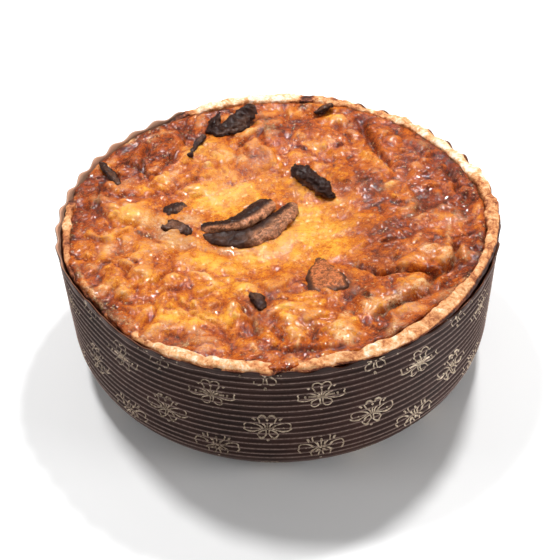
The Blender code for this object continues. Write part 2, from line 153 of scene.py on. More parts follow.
# Lumps and hollows: x, y, half length, half width, turn of the long axis, height
LUMPS = (
    (41.4, -45.1, 13, 6.5, 8, 2.2), (48.3, -23.3, 13, 10, -20, 2), (61.1, -23.5, 11, 4, 80, 1.6),
    (60.1, 30.7, 17, 11, 110, 1.6), (48.3, 48.5, 15, 8, 100, 1.4), (31.8, 23.5, 10, 8, -30, 1.6),
    (39.7, -7.5, 8, 7, 0, 1.4), (-63.1, 41.6, 11, 9, 50, 1.8), (-44.3, 46.5, 15, 8, 95, 1.6),
    (-29.7, 29.9, 9, 7, 70, 1.3), (-71.9, 13, 13, 6, 95, 1.2), (-57.2, 3.2, 9, 7, 0, 0.9),
    (-57.2, -28.4, 12, 8, 120, 0.8), (-25.6, -50, 12, 9, 0, 0.8), (21.7, -65.8, 8, 6, 70, 1.2),
    (3, -58.9, 7, 5, 60, 1), (13.8, 56.4, 12, 7, 0, 1.4), (-5.9, 41.8, 11, 8, 0, 1), (69, -0.8, 8, 10, 0, 0.9),
    (-6, -26.2, 16, 9, 10, -1.2), (14, 0.3, 12, 9, 90, -1), (-22, 13, 12, 8, -20, -1), (59.1, 7.1, 9, 6, 40, -0.9),
)

# Folds, raised on the left of their run: step height, width of the step, slope behind, x and y of its points
FOLDS = (
    (-2.2, 0.9, 7, 55.2, -40.2, 53.2, -49.1, 43.4, -54, 32.5, -60.9),
    (-2, 0.9, 7, 65, -20.5, 63.1, -33.3, 56.2, -38.2, 45.3, -37.3, 31.6, -38.7),
    (1.8, 1, 6, 38.4, 64.3, 39.4, 52.4, 42.4, 38.6, 49.3, 25.9),
    (-1.5, 0.9, 6, -53.2, 55.4, -53.2, 40.6, -51.2, 28.8), (-1.7, 1.2, 6, -35.5, 64.3, -38.4, 48.5, -49.3, 26.8),
    (1.2, 0.9, 5, -67, 28.8, -70, 15, -68, 1.2),
    (1.5, 0.8, 9, -75.9, -22.5, -69, -36.3, -60.1, -50.1, -51.2, -62.9),
    (-1, 1.2, 6, -16.8, -44.3, -12.8, -55, -7.9, -66.8), (-1.2, 0.8, 5, -30.6, 35.8, -30.8, 24.5),
)

# Creases and ridges: height, half width, browning (along the creases also painted shade), creaminess (partly a
# painted highlight), x and y of its points
STROKES = (
    (-1.4, 0.9, 0.45, 0, -53.2, 54.5, -53.4, 43.9, -54.1, 36.7, -54.3, 32.3, -52.1, 28.3),
    (-0.9, 0.8, 0.35, 0, -69.2, 39.8, -62.8, 36.7, -57.6, 32.4, -52.9, 29, -49.7, 23.6),
    (-0.6, 0.8, 0.25, 0, -37.2, 50, -40.9, 42.3, -45, 33.5, -48, 27.4),
    (-0.8, 0.8, 0.4, 0, -31.1, 31.2, -31.8, 23.9), (-0.6, 0.7, 0.3, 0, -42.7, 26.1, -40.1, 22.7, -39.2, 19.2),
    (-0.9, 1, 0.4, 0, -70.5, 25.8, -70, 14.9, -69.8, 8.6, -67.8, 0.5),
    (-0.5, 0.8, 0.25, 0, -60.5, -8, -59.2, -14.2, -58.3, -19.5),
    (-0.5, 1, 0.6, 0, -56.7, -24, -54, -26.4, -51.6, -28.7),
    (-0.6, 0.9, 0.3, 0, -60.6, -26.3, -56.9, -30.5, -54.3, -35.9, -53.9, -41.8),
    (-0.9, 0.9, 0.38, 0, -36.6, -45.8, -35.7, -50.1, -32.8, -52.5, -29.3, -52.9),
    (-0.5, 0.8, 0.3, 0, -28.6, -53.4, -25.7, -56.5), (-0.6, 0.8, 0.3, 0, -46, -53.3, -45.3, -58.1),
    (-0.6, 0.8, 0.28, 0, -39.1, -65, -38.2, -68.5, -39.3, -73.3),
    (-1.1, 1.2, 0.4, 0, -15.5, -46.2, -13.3, -51.8, -10.6, -56.9, -8.5, -62, -7.9, -67.1),
    (-0.7, 0.8, 0.3, 0, -14.5, 51.5, -12.4, 42.8, -10.4, 39.1),
    (-1.2, 1.2, 0.42, 0, 36.9, 63.2, 38, 55.8, 39.9, 47.7, 42, 38.7, 44.6, 31.8, 48.3, 24.2),
    (-1.2, 1.2, 0.42, 0, 68.1, 31.5, 69.6, 24.5, 70.1, 16.7, 71.6, 8.7, 75.4, 3),
    (-0.8, 1, 0.5, 0, 55.4, 9.4, 54.9, 1.8, 53.3, -1.7), (-1, 1.1, 0.6, 0, 40.1, -6.6, 43.9, -10.5),
    (-1.6, 1.4, 0.65, 0, 38.3, -17.9, 41.9, -18.8, 45, -17.7), (-0.7, 0.9, 0.5, 0, 46.7, -12.6, 48.3, -17.5),
    (-1.8, 1.2, 0.5, 0, 64.8, -19.8, 65.3, -26.1, 64.2, -31.5, 60.6, -36.7, 55.9, -39.7, 53.3, -42.7, 51.8, -48.7),
    (-1.5, 1.1, 0.48, 0, 26.8, -28, 31.1, -32.8, 36, -38.1, 40.3, -37.7, 45, -36.9, 48.6, -37.7, 52.1, -38.5, 55.9,
      -39.7), (-1.9, 1.1, 0.55, 0, 32.7, -59.4, 35.6, -57.6, 38.5, -55.5, 42.2, -53.4, 46.8, -52.2, 51.6, -50),
    (-0.3, 0.8, 0.6, 0, 28.8, -47.8, 31.3, -50.6, 33.3, -51.9),
    (-1.5, 1.1, 0.5, 0, 0.6, -76.5, 4.7, -75.5, 6.7, -74.7, 12.6, -75.4, 17.6, -75.5, 22.6, -74.4, 25.5, -71.6),
    (-0.7, 0.8, 0.35, 0, -6.6, -73.3, -2.3, -73, 0.7, -75.1, 4.6, -76),
    (-1, 0.9, 0.5, 0, 26, -74.1, 27.6, -78.4, 26.2, -83),
    (-0.5, 0.7, 0.25, 0, -0.9, -58.2, -1.8, -64.7, -0.5, -69.4),
    (-0.4, 0.6, 0.2, 0, 6.5, -62.3, 10.9, -61.7, 11.8, -65.2, 10.2, -71),
    (-0.8, 0.7, 0.4, 0, 70, -17.6, 72.3, -16.9, 74.8, -14.9),
    (-0.8, 0.7, 0.4, 0, 71.8, -19.8, 71, -26.9, 72.3, -30.1, 71.7, -34),
    (-1.2, 1.2, 0.4, 0, 80.6, -0.7, 80.7, -6.9, 78.6, -14.7, 75.9, -21.7, 73, -30.2),
    (1, 0.8, -0.1, 0.35, -74.7, -23.7, -72.8, -31, -69.5, -37.7, -65.2, -44.2, -61, -50.9, -56.8, -57.4),
    (0.5, 1.3, -0.2, 0.7, -29.3, 20.3, -26.5, 17.2, -24.1, 14),
    (0.5, 0.9, -0.2, 0.75, -32.4, -30.9, -28.7, -31.8, -25.8, -33.5, -23.5, -37.3, -22.3, -40.7),
    (0.3, 1.6, -0.1, 0.5, -56.5, -11.2, -57.6, -14.9),
    (0.4, 2.2, -0.2, 0.55, -62.9, -14.6, -63.6, -19, -64.3, -22.7),
    (0.4, 1, -0.1, 0.45, 65.7, -5.6, 64.5, -11.4, 63.1, -20.6, 61.8, -26.5),
    (0.3, 0.6, -0.1, 0.6, -8.9, -58, -7.8, -61.1, -7.2, -65.1),
    (0.4, 1, -0.1, 0.75, -9.9, -70.4, -8.6, -73.3, -8.3, -74.7),
    (0.8, 1.5, -0.4, 0.85, 42.8, 16.4, 44.7, 16.1, 47.6, 17.5),
    (0.3, 0.8, -0.1, 0.5, -11.6, 53.5, -9.5, 57.1, -7.3, 57.7), (0.3, 0.8, -0.1, 0.5, -28.3, 33.4, -25.6, 36.6),
    (0.4, 0.6, -0.1, 0.8, 5.9, -69.7, 5.1, -73.6),
    (0.9, 1.4, -0.15, 0, 24.4, 48.2, 29.2, 44.4, 36, 40.9, 41.9, 33.4, 46.7, 24.6, 49.4, 19),
    (0.8, 1.6, -0.2, 0, -27.2, 54.4, -32.8, 45, -39, 35.2, -44.8, 28.5, -49.6, 22.2),
    (1.2, 1.2, 0.6, 0, 14.1, 82.6, 16.7, 80.8), (0.7, 0.9, 0.55, 0, 8.5, 47, 12.1, 44.3, 15.7, 40.9),
    (0.6, 1, 0.75, 0, 25.5, 44.8, 28.4, 45.2), (0.2, 0.8, 0.6, 0, -20.2, 25.1, -17, 24.7),
    (0.2, 0.8, 0.6, 0, -53.4, -7.6, -52.2, -8.2), (-0.3, 0.7, 0.35, 0.1, -20.8, -15.2, -17.4, -15.8, -12.2, -15.3),
    (0.1, 0.6, 0.7, 0, -11.7, -42.9, -9.5, -44.8),
    (-0.2, 0.7, 0.6, 0, -6.3, -46.1, -2.8, -47.4, 1.4, -48.3, 5.8, -51.8),
    (0.2, 0.8, 0.7, 0, 5.3, -35.7, 7.7, -39.3, 10, -42.8, 12, -45.5),
)

# Patches: x, y, half length, half width, turn, height, browning, and where it has them creaminess, partly
# painted highlight, and mushroom stain
PATCHES = (
    (-47.5, 42.9, 18.7, 8.8, 57, 0, 0.16), (-73.9, 9.9, 15.6, 6.8, -71, 0, 0.1), (-5.4, 39, 7.4, 4.7, 2, 0, 0.2),
    (-0.1, 56.8, 5.7, 3.4, -50, 0.3, 0.3), (-2.5, 65.2, 5.1, 2.4, -5, 0, 0.25),
    (13.3, 73.1, 3.3, 2.6, -87, 0.3, 0.4), (65.3, 19.9, 21.4, 12.7, -79, 0, 0.14),
    (59.7, 6.2, 8.1, 5.2, 90, -0.4, 0.25), (35.2, 16.6, 10.2, 6.3, -37, 0.5, 0.2, 0, 0.1),
    (54.4, -33.9, 18.2, 13.7, 9, 0, 0.08), (61.7, -45.9, 7.8, 3.8, 44, 0, 0.12),
    (31.1, -61.3, 3.8, 2.4, 34, 0, 0.22), (5.9, -77.5, 8.6, 3.3, -8, 0, 0.16), (-66, -39.5, 7, 3, -62, -0.5, 0.2),
    (-59.7, -49.4, 5.1, 2.9, -65, -0.5, 0.2), (-51.6, -62.4, 4.9, 2.9, -67, -0.4, 0.2),
    (7.7, -29.6, 6.2, 5.3, -45, 0, 0.1), (37.9, -10.5, 4.8, 4.1, -50, 0.3, 0.12, 0, 0.15),
    (28.5, -4.5, 6.7, 4.3, -76, 0, 0.06, 0, 0.15), (-14.5, 35.7, 8.2, 4.5, -3, 0, 0.12),
    (-24.5, 15.7, 9.6, 7.6, 10, 0, -0.34), (-14.6, 21.7, 8.9, 4, -2, 0, -0.2, 0.12),
    (16.2, -5.1, 11.6, 9.6, -69, 0, -0.32), (-27.2, -24.6, 5.9, 5.3, 57, 0, -0.34),
    (-1.3, -16.7, 11.3, 5.7, -6, 0, -0.2), (-31.2, -57.4, 11.1, 3.3, -9, 0, -0.3),
    (-19.7, -34.2, 13.8, 12.3, 84, 0, -0.12), (10.4, 42, 12.4, 4.7, -7, 0, -0.14),
    (39.6, 35, 8.9, 3.3, -52, 0, -0.24), (24.1, 64, 6.3, 4.7, 88, 0.3, -0.2),
    (45.3, 10.4, 6.3, 3.1, 11, 0.4, -0.22), (-48.5, 22.3, 11.6, 2.9, 41, 0, -0.2),
    (-58.6, 1.3, 9.9, 5, 5, 0, -0.14), (1.5, -56.6, 5, 3.6, -47, 0.3, -0.24), (21.7, -64.4, 6.2, 5, 72, 0.4, -0.18),
    (-29.1, 45, 6.7, 6.5, -22, 0, -0.14, 0, 0.12), (60.1, -10.8, 5.9, 4.4, 80, 0.3, -0.14),
    (10.9, 5.8, 5.1, 4.9, -1, 0, -0.22, 0.1), (-35.4, -42.5, 16.3, 11.7, -4, 0, -0.07),
    (-55.5, -13.1, 7, 3.6, 71, 0, -0.12, 0.15), (-19.9, 41.1, 2.9, 2.4, -12, 0.2, -0.1, 0.6),
    (-14.1, 39.4, 2.9, 1.6, 11, 0.2, -0.1, 0.7), (-41.5, 28.4, 2.2, 1.6, -90, 0.3, -0.1, 0.6),
    (-62.9, 53.2, 3.1, 1.8, 36, 0.2, -0.1, 0.6), (-51.9, 54.9, 2.1, 0.9, -68, 0.2, 0, 0.8),
    (-59.8, 62.5, 1.7, 1.2, 11, 0, 0, 0.6), (-32.7, 54.7, 1.5, 1.2, -82, 0.2, 0, 0.6),
    (54.2, -26.3, 3.2, 2.5, -86, 0.5, -0.1, 0.8), (61.3, -29.8, 4, 1.8, 70, 0.5, -0.1, 0.75),
    (58.2, -37.4, 2.7, 0.4, 33, 0.2, 0, 0.5, 0.3), (45.4, -49.1, 5.3, 1.6, 20, 0.3, 0, 0.6),
    (50, -45.9, 3.6, 2.2, 28, 0.2, 0, 0.6), (39.1, -52.9, 4.6, 2, 12, 0.3, 0, 0.78),
    (30.6, -54.9, 3.3, 2.1, -88, 0.3, 0, 0.55), (22.7, -58.9, 2.4, 1.8, 85, 0.3, -0.1, 0.7),
    (21.7, -68.7, 3.7, 2.9, -87, 0.5, -0.1, 0.9), (19.3, -64.7, 2.4, 2, 87, 0.3, -0.1, 0.7),
    (1.4, -60.2, 1.9, 1.6, -82, 0.4, -0.1, 0.85), (4, -65.1, 1, 0.6, 9, 0.1, 0, 0.8),
    (37.6, -67.5, 4.1, 1.8, 61, 0.3, 0, 0.5), (58.5, -51, 4.3, 2.3, 33, 0.2, 0, 0.35),
    (68.5, -7, 3.3, 3, 70, 0.2, 0, 0.35), (51.4, 2, 4.7, 2.7, 68, 0.3, 0, 0.35),
    (-63, -37.2, 2.1, 0.8, -27, 0.1, 0, 0.6), (-56.3, -42.8, 3.4, 1.6, -39, 0.3, 0, 0.5),
    (-68.3, -27.6, 2.3, 1.5, -18, 0.2, 0, 0.4), (-53.4, -57.2, 2.8, 1.6, -11, 0.1, 0, 0.4),
    (-33.7, -70.4, 2, 1.5, -16, 0.1, 0, 0.35), (26.7, -28.6, 1.9, 1.3, -20, 0.1, 0, 0.4),
    (35.1, 34.3, 1.4, 1.2, 86, 0.1, 0, 0.6), (-42.4, -8, 5.3, 4.3, 17, -0.2, -0.15, 0.4, 0.55),
    (-37.7, -11.8, 4.5, 3.8, 20, -0.2, -0.1, 0.4, 0.5), (-33.9, 2.6, 3.5, 3.1, 16, 0, -0.15, 0.5, 0.3),
    (-47.3, -1.8, 4.2, 3.6, 22, 0, -0.1, 0.45, 0.35), (-17.4, -15.2, 8.3, 1.8, -1, 0.2, 0, 0.45, 0.3),
    (9.9, -62.6, 3.4, 2.9, -2, 0.2, 0.05, 0, 0.35), (18.8, 44.9, 2.1, 1.8, -11, 0.4, -0.1, 0.35),
    (-8.8, -51.3, 5.3, 4.9, -77, 0, 0.14, 0, 0.2), (-1.7, -42.5, 6.4, 5, -7, 0, 0.14, 0, 0.15),
    (24.4, -41, 4.9, 2.8, -90, 0, 0.1, 0, 0.45), (26.5, -46, 3.6, 2, -24, 0, 0, 0, 0.4),
    (7.9, 18.7, 5.2, 3.9, -89, 0, -0.06, 0.15, 0.2), (25, 11.8, 4, 2.4, -17, 0, -0.1, 0.2, 0.1),
    (3.8, -11.5, 7.5, 3, 61, 0, -0.12, 0.3, 0.2), (-10.3, 51.2, 12.6, 3.8, -4, 0, -0.02),
    (70, -26.7, 11.6, 4.3, 81, 0, 0.12), (56.6, 40.7, 12.6, 8.4, -63, 0, 0.06),
    (-78.4, -11, 12.7, 2.3, -83, 0, 0.1), (-34.2, -67.9, 4.8, 3.5, -11, 0, 0.02, 0, 0.15),
    (-44.4, -67, 5.9, 2.4, -46, 0, 0, 0, 0.3), (38.6, -30.3, 6.8, 5.5, -44, 0.4, 0.05, 0, 0.15),
    (21.8, 24, 8.3, 3.3, -22, 0, 0.05), (-23, -68.5, 7.4, 3.7, -3, 0, 0.1), (-28.8, -75.7, 8.7, 1.8, -10, 0, 0.2),
    (-5.5, -67.7, 6.7, 3.3, -4, 0, 0.08),
)

# The mushroom pieces' lobes: x, y, lift of the middle over the custard, half width, half thickness, side tilt
MUSHROOMS = {
    "mushroom_slice_centre": (
        ((-29.5, -3.2, 0.3, 1.9, 1.6, 0), (-24.7, -3.7, 1, 3.2, 2.4, 8), (-19.5, -3.8, 1.4, 3.4, 2.6, 10),
         (-14.4, -1.8, 1.6, 4.2, 2.7, 12), (-9.9, 1.9, 1.8, 5, 2.7, 14), (-5.9, 6.7, 2, 5.4, 2.7, 14),
         (-3.2, 10.9, 1.5, 4, 2.2, 10)),
        ((-28.4, -7.6, -0.3, 1.6, 1.4, 0), (-23.3, -10.1, 0.2, 3.4, 2, -6), (-18.2, -10.8, 0.4, 4.2, 2.1, -8),
         (-13.2, -10.9, 0.5, 4.4, 2.1, -8), (-8.1, -9.5, 0.6, 4.6, 2.1, -8), (-3.6, -5.9, 0.7, 4.8, 2.1, -6),
         (1, -0.1, 0.8, 4.6, 2, 0), (4.4, 5.2, 0.8, 3.9, 1.9, 0), (6.5, 10.2, 0.5, 2.2, 1.4, 0)),
    ),
    "mushroom_slice_left_upper": (
        ((-44.8, 2.2, -0.5, 1.2, 1.1, 0), (-41.7, 6.1, -0.1, 3, 1.6, 0), (-38.6, 8.9, -0.1, 3.2, 1.6, 0),
         (-36, 11.3, -0.4, 1.8, 1.2, 0)),
    ),
    "mushroom_slice_left_lower": (
        ((-44.8, -4.5, -0.6, 1.9, 1.3, 0), (-41.2, -3, -0.2, 3.4, 1.6, 0), (-38.1, -3.3, -0.1, 3.6, 1.6, 0),
         (-35.1, -5.3, -0.2, 2.6, 1.4, 0), (-33.3, -7, -0.5, 1.4, 1.1, 0)),
    ),
    "mushroom_cap_back": (
        ((7.8, 34.2, 0.1, 2.4, 1.7, 0), (11.5, 28.2, 1, 4.4, 2.6, 8), (15.7, 22.6, 1.3, 4.7, 2.9, 10),
         (19.1, 17.7, 1, 3.8, 2.5, 8), (22.9, 13.1, 0.1, 1.4, 1.2, 0)),
    ),
    "mushroom_curl_back_left": (
        ((-26.6, 56.3, 0.2, 2.9, 1.6, 0), (-25.8, 59.8, 1.4, 3.4, 1.6, 15), (-24.5, 62.9, 3, 2.6, 1.3, 25),
         (-23.2, 65.6, 4.6, 0.8, 0.7, 25)),
        ((-25.5, 54.6, 0.3, 3, 1.8, 0), (-22.1, 56.9, 0.9, 4, 1.9, -10), (-17.7, 59.1, 1.8, 4.6, 1.9, -15),
         (-13.4, 63.2, 3, 4.6, 1.7, -20), (-10.5, 66.5, 4.6, 4, 1.3, -20), (-9.8, 69.5, 5.8, 2, 0.8, -10)),
    ),
    "mushroom_tail_back_left": (
        ((-29.1, 54, 0.1, 1.2, 0.9, 0), (-31.9, 49.1, 0.4, 1.9, 1.1, 0), (-33.8, 43.2, 0.2, 1.2, 0.9, 0),
         (-35.3, 38.6, 0.1, 1.4, 1, 0)),
    ),
    "mushroom_slice_front_right": (
        ((14.8, -22.6, -0.1, 1.4, 1.2, 0), (15.7, -27.5, 0.3, 3.8, 1.6, 0), (16.2, -34.1, 0.5, 6.9, 1.7, 0),
         (17.5, -40.4, 0.4, 7.9, 1.6, 0), (18.4, -45.2, -0.1, 6.6, 1.2, 0)),
    ),
    "mushroom_piece_front": (
        ((-10.8, -44.5, 0, 1.2, 0.9, 0), (-8.4, -47.6, 0.5, 2.2, 1.3, 0), (-7, -51.1, 0.5, 2.1, 1.2, 0),
         (-6.5, -54.5, 0.1, 1.3, 0.9, 0)),
    ),
    "mushroom_piece_back_right": (
        ((17.4, 69.1, 0.4, 1.3, 0.9, 0), (19.9, 69.3, 1.1, 1.8, 1.2, 0), (23.2, 70.4, 1.9, 2, 1.2, 0),
         (25.8, 71.2, 2.4, 1.3, 0.9, 0)),
    ),
    "mushroom_strip_left": (
        ((-72.1, 37.5, 2.4, 1, 0.8, 0), (-69.3, 33.2, 1.9, 2, 1.3, 0), (-66.4, 28.3, 1.1, 2.2, 1.4, 0),
         (-63.6, 22.9, 0.5, 1.5, 1.1, 0), (-62, 20.5, 0.2, 0.8, 0.7, 0)),
    ),
}

# How much higher a piece lies at the surface than its solid
RAISED = {
    "mushroom_tail_back_left": 0.9, "mushroom_slice_left_upper": -0.5, "mushroom_slice_left_lower": -0.3,
    "mushroom_slice_front_right": -0.9, "mushroom_cap_back": 0.2,
}

# Pieces more crumpled than the others, or smoother
CRUMPLED = {
    "mushroom_cap_back": 2.2, "mushroom_curl_back_left": 1.6, "mushroom_slice_front_right": 0.7,
}

# Bare flesh on each lobe: middle and half width of its side of the section, start and end along it, strength
FLESH = {
    "mushroom_slice_centre": ((0, 58, 0.04, 0.97, 0.9), (42, 66, 0.42, 1.1, 0.75)),
    "mushroom_slice_left_upper": ((20, 60, 0.45, 1, 0.45),),
    "mushroom_slice_left_lower": ((60, 60, 0.1, 0.7, 0.35),), "mushroom_cap_back": ((-20, 35, 0.3, 1, 0.3),),
    "mushroom_curl_back_left": ((30, 30, 0.2, 0.7, 0.15), (60, 30, 0.1, 0.4, 0.1)),
    "mushroom_tail_back_left": ((90, 40, 0, 0.4, 0.2),), "mushroom_slice_front_right": ((90, 52, 0.14, 0.9, 0.86),),
    "mushroom_piece_front": ((90, 40, 0.2, 0.6, 0.2),), "mushroom_piece_back_right": ((90, 40, 0.2, 0.9, 0.3),),
    "mushroom_strip_left": ((90, 40, 0.3, 1, 0.2),),
}

# Pieces that the custard has soaked, warmer than the others
SOAKED = ("mushroom_slice_front_right",)

# One blossom, drawn in millimetres from its heart: x and y of the lines that it has on both sides
BLOSSOM_SIDES = (
    (1, 0.3, 3, 1.5, 5.4, 2.5, 7.4, 2.5, 8.2, 1.4, 7.9, 0.5, 8.4, -0.5, 7.2, -1.5, 4.8, -1.6, 2.6, -0.8, 1, 0),
    (0.6, -0.9, 0.5, -2.9, 1.3, -4.5, 2.7, -4.8, 3.7, -3.6, 3.3, -2.2, 1.8, -1.3, 0.6, -0.9),
    (-0.3, 0.2, -1, 1.4, -1.5, 3), (0.6, 0.1, 2.4, 0.5, 4.6, 0.5),
)

# The lines on its middle
BLOSSOM_MIDDLE = (
    (-0.6, 1, -2.2, 3, -3.3, 5.2, -2.6, 6.6, -1.2, 6.8, 0, 6.1, 1.2, 6.8, 2.6, 6.6, 3.3, 5.2, 2.2, 3, 0.6, 1),
    (0, 0, 0, 1.8, 0, 3.6),
)

# A short thick drop, on both sides too
BLOSSOM_DROP = (4.2, 4.1, 5.2, 5.3)

# Dots: x, y and radius
BLOSSOM_DOTS = (
    (0, -6.4, 0.55), (0, 4.4, 0.5), (5.6, 0.5, 0.4), (-5.6, 0.5, 0.4), (0, 0, 0.65),
)


# Numbers and noise


def ease(value, low, high):
    """A smooth step from 0 at low to 1 at high."""
    share = np.clip((value - low) / (high - low), 0.0, 1.0)
    return share * share * (3 - 2 * share)


def turn_between(a, b):
    """The smallest turn from angle b to angle a, in degrees."""
    return (a - b + 180.0) % 360.0 - 180.0


def facing(degrees, side, low, high):
    """A smooth step from 0 to 1 towards one side of the pie, between two cosines of the turn from it."""
    return ease(np.cos(np.radians(turn_between(degrees, side))), low, high)


def round_table(table, degrees, column):
    """One column of a table whose first column is an angle, read all the way round."""
    keys = np.array(table)
    return np.interp(degrees, keys[:, 0], keys[:, column], period=360)


def pairs(numbers):
    """The points of a flat row of x and y values."""
    return list(zip(numbers[::2], numbers[1::2]))


def lattice(i, j, k, seed):
    """A fixed random value from -1 to 1 for each whole-number point."""
    mixed = (i * 374761393 + j * 668265263 + k * 2147483647 + seed * 974634777) & 0x7FFFFFFF
    mixed = ((mixed ^ (mixed >> 13)) * 1274126177) & 0x7FFFFFFF
    return ((mixed ^ (mixed >> 16)) & 0xFFFF) / 32767.5 - 1.0


def noise(x, y, z, size, seed):
    """Smooth random values from -1 to 1, with features about as large as size."""
    x, y, z = np.broadcast_arrays(np.asarray(x, float), np.asarray(y, float), np.asarray(z, float))
    x, y = 0.83 * x + 0.56 * y + seed * 7.3, -0.56 * x + 0.83 * y - seed * 3.1
    cells = [np.floor(v / size) for v in (x, y, z)]
    parts = [v / size - cell for v, cell in zip((x, y, z), cells)]
    fx, fy, fz = (part * part * (3 - 2 * part) for part in parts)
    i, j, k = (cell.astype(np.int64) for cell in cells)
    total = 0.0
    for a, b, c in np.ndindex(2, 2, 2):
        weight = (fx if a else 1 - fx) * (fy if b else 1 - fy) * (fz if c else 1 - fz)
        total = total + weight * lattice(i + a, j + b, k + c, seed)
    return total


def rough(x, y, z, size, seed, octaves=3):
    """Noise with finer and weaker layers added to it."""
    return sum(noise(x, y, z, size / 2**n, seed + n) / 1.8**n for n in range(octaves))


# The pie's form, the same as in its solids


def dent(degrees, height):
    """How far the paper wall is pushed in."""
    share = np.clip(height / MOULD_HEIGHT, 0.0, None)
    near = np.exp(-((turn_between(degrees, DENT_ANGLE) / DENT_SPREAD) ** 2))
    return DENT_DEPTH * near * share * share


def corner(turn, wall, floor):
    """Radius and height on the rounded foot, a wall's thickness inside it and down to a floor."""
    radius = WALL_FOOT_RADIUS - CORNER_REACH * (1 - math.cos(turn)) - wall * math.cos(turn)
    return radius, CORNER_HEIGHT + (floor - CORNER_HEIGHT) * math.sin(turn)


def inner_radius(degrees):
    """Radius of the pastry's inner side, which the custard fills."""
    lined = RIM_RADIUS - WALL_THICKNESS - PASTRY_CLEARANCE - dent(degrees, MOULD_HEIGHT) - 0.3
    return lined + np.minimum(round_table(PASTRY_RIM, degrees, 2), 0.5) - round_table(PASTRY_RIM, degrees, 3)


def along_path(x, y, points):
    """Distance to a path, the side of it (+1 on its left) and the share of the way along it."""
    nearest = np.full_like(x, 1e9)
    side, along = np.zeros_like(x), np.zeros_like(x)
    lengths = [math.dist(a, b) for a, b in zip(points, points[1:])]
    passed = 0.0
    for (ax, ay), (bx, by), length in zip(points, points[1:], lengths):
        ux, uy = (bx - ax) / length, (by - ay) / length
        reach = np.clip((x - ax) * ux + (y - ay) * uy, 0.0, length)
        dx, dy = x - ax - reach * ux, y - ay - reach * uy
        distance = np.hypot(dx, dy)
        closer = distance < nearest
        side = np.where(closer, np.sign(ux * dy - uy * dx), side)
        along = np.where(closer, passed + reach, along)
        nearest = np.where(closer, distance, nearest)
        passed += length
    return nearest, side, along / sum(lengths)


def fold_rise(x, y, step, width, slope, points):
    """Height that one fold adds: a steep step on its line that dies away behind it and at its ends."""
    distance, side, share = along_path(x, y, points)
    signed = distance * side * (1 if step > 0 else -1)
    fade = np.clip(4 * share, 0, 1) * np.clip(4 * (1 - share), 0, 1)
    front = 1 / (1 + np.exp(-np.clip(signed / width * 3, -30, 30)))
    behind = np.exp(-np.clip(signed, 0, None) / slope)
    return abs(step) * fade * (front * behind - 0.35 * np.exp(-((signed / (2 * width)) ** 2)))


def patch_share(x, y, cx, cy, length, width, turn):
    """How strongly points lie in an oval patch, 1 at its middle."""
    c, s = math.cos(math.radians(turn)), math.sin(math.radians(turn))
    u = ((x - cx) * c + (y - cy) * s) / length
    v = (-(x - cx) * s + (y - cy) * c) / width
    return np.exp(-((u * u + v * v) ** 1.4))


def custard_height(x, y):
    """Height of the custard's top as the solid has it."""
    x, y = np.asarray(x, float), np.asarray(y, float)
    radius = np.hypot(x, y)
    height = CUSTARD_CENTRE_HEIGHT + PUFFED_RISE * ease(radius, PUFFED_FROM, PUFFED_TO)
    for *oval, rise in LUMPS:
        height += rise * patch_share(x, y, *oval)
    for step, width, slope, *run in FOLDS:
        height += fold_rise(x, y, step, width, slope, pairs(run))
    degrees = np.degrees(np.arctan2(y, x))
    edge = MOULD_HEIGHT - EDGE_DROP + np.minimum(round_table(PASTRY_RIM, degrees, 1), EDGE_HIGHEST)
    side = inner_radius(degrees)
    return height + (edge - height) * ease(radius, side - EDGE_WIDTH, side)


# Meshes


def ring_angles(count):
    """Even angles all the way round, in radians."""
    return np.arange(count) * 2 * math.pi / count


def on_ring(radius, angles, height):
    """The points of one ring."""
    return np.column_stack([radius * np.cos(angles), radius * np.sin(angles), height + 0 * angles])


def loft(rings):
    """Points and faces of the closed surface through rings of equally many points, with a pole at each end."""
    rings = np.asarray(rings, float)
    rows, count = rings.shape[:2]
    i = np.arange(count)
    j = (i + 1) % count
    faces = []
    for low in range(0, (rows - 1) * count, count):
        high = low + count
        faces += np.column_stack([low + i, low + j, high + j, high + i]).tolist()
    start, end, top = rows * count, rows * count + 1, (rows - 1) * count
    faces += [[start, int(b), int(a)] for a, b in zip(i, j)]
    faces += [[end, int(top + a), int(top + b)] for a, b in zip(i, j)]
    return np.vstack([rings.reshape(-1, 3), rings[0].mean(axis=0), rings[-1].mean(axis=0)]), faces


def put(name, data):
    """An object in the scene that holds the data."""
    made = bpy.data.objects.new(name, data)
    bpy.context.scene.collection.objects.link(made)
    return made


def vertex_places(mesh):
    """A row of x, y and z for each vertex."""
    places = np.empty(len(mesh.vertices) * 3)
    mesh.vertices.foreach_get("co", places)
    return places.reshape(-1, 3)


def add_piece(name, points, faces, values, look):
    """An object at the origin from points in millimetres, with a value for each point under each name."""
    mesh = bpy.data.meshes.new(name)
    mesh.from_pydata(np.asarray(points) * MM, [], faces)
    mesh.validate()
    for label, numbers in values.items():
        layer = mesh.attributes.new(label, "FLOAT", "POINT")
        layer.data.foreach_set("value", np.clip(numbers, 0.0, 1.0).astype(np.float32))
    mesh.shade_smooth()
    mesh.materials.append(look)
    face_outwards(mesh)
    return put(name, mesh)


def face_outwards(mesh):
    """Turns the faces round when the volume that they enclose comes out negative."""
    mesh.calc_loop_triangles()
    corners = np.empty(len(mesh.loop_triangles) * 3, dtype=np.int64)
    mesh.loop_triangles.foreach_get("vertices", corners)
    a, b, c = vertex_places(mesh)[corners.reshape(-1, 3)].transpose(1, 0, 2)
    if np.einsum("ij,ij->i", np.cross(a, b), c).sum() < 0:
        mesh.flip_normals()


# Node trees


def joins(operation, swapped=False):
    """An arithmetic method that joins a Value to another one, or to a number, with a Math node."""

    def method(self, other):
        return self.graph.math(operation, *((other, self) if swapped else (self, other)))

    return method


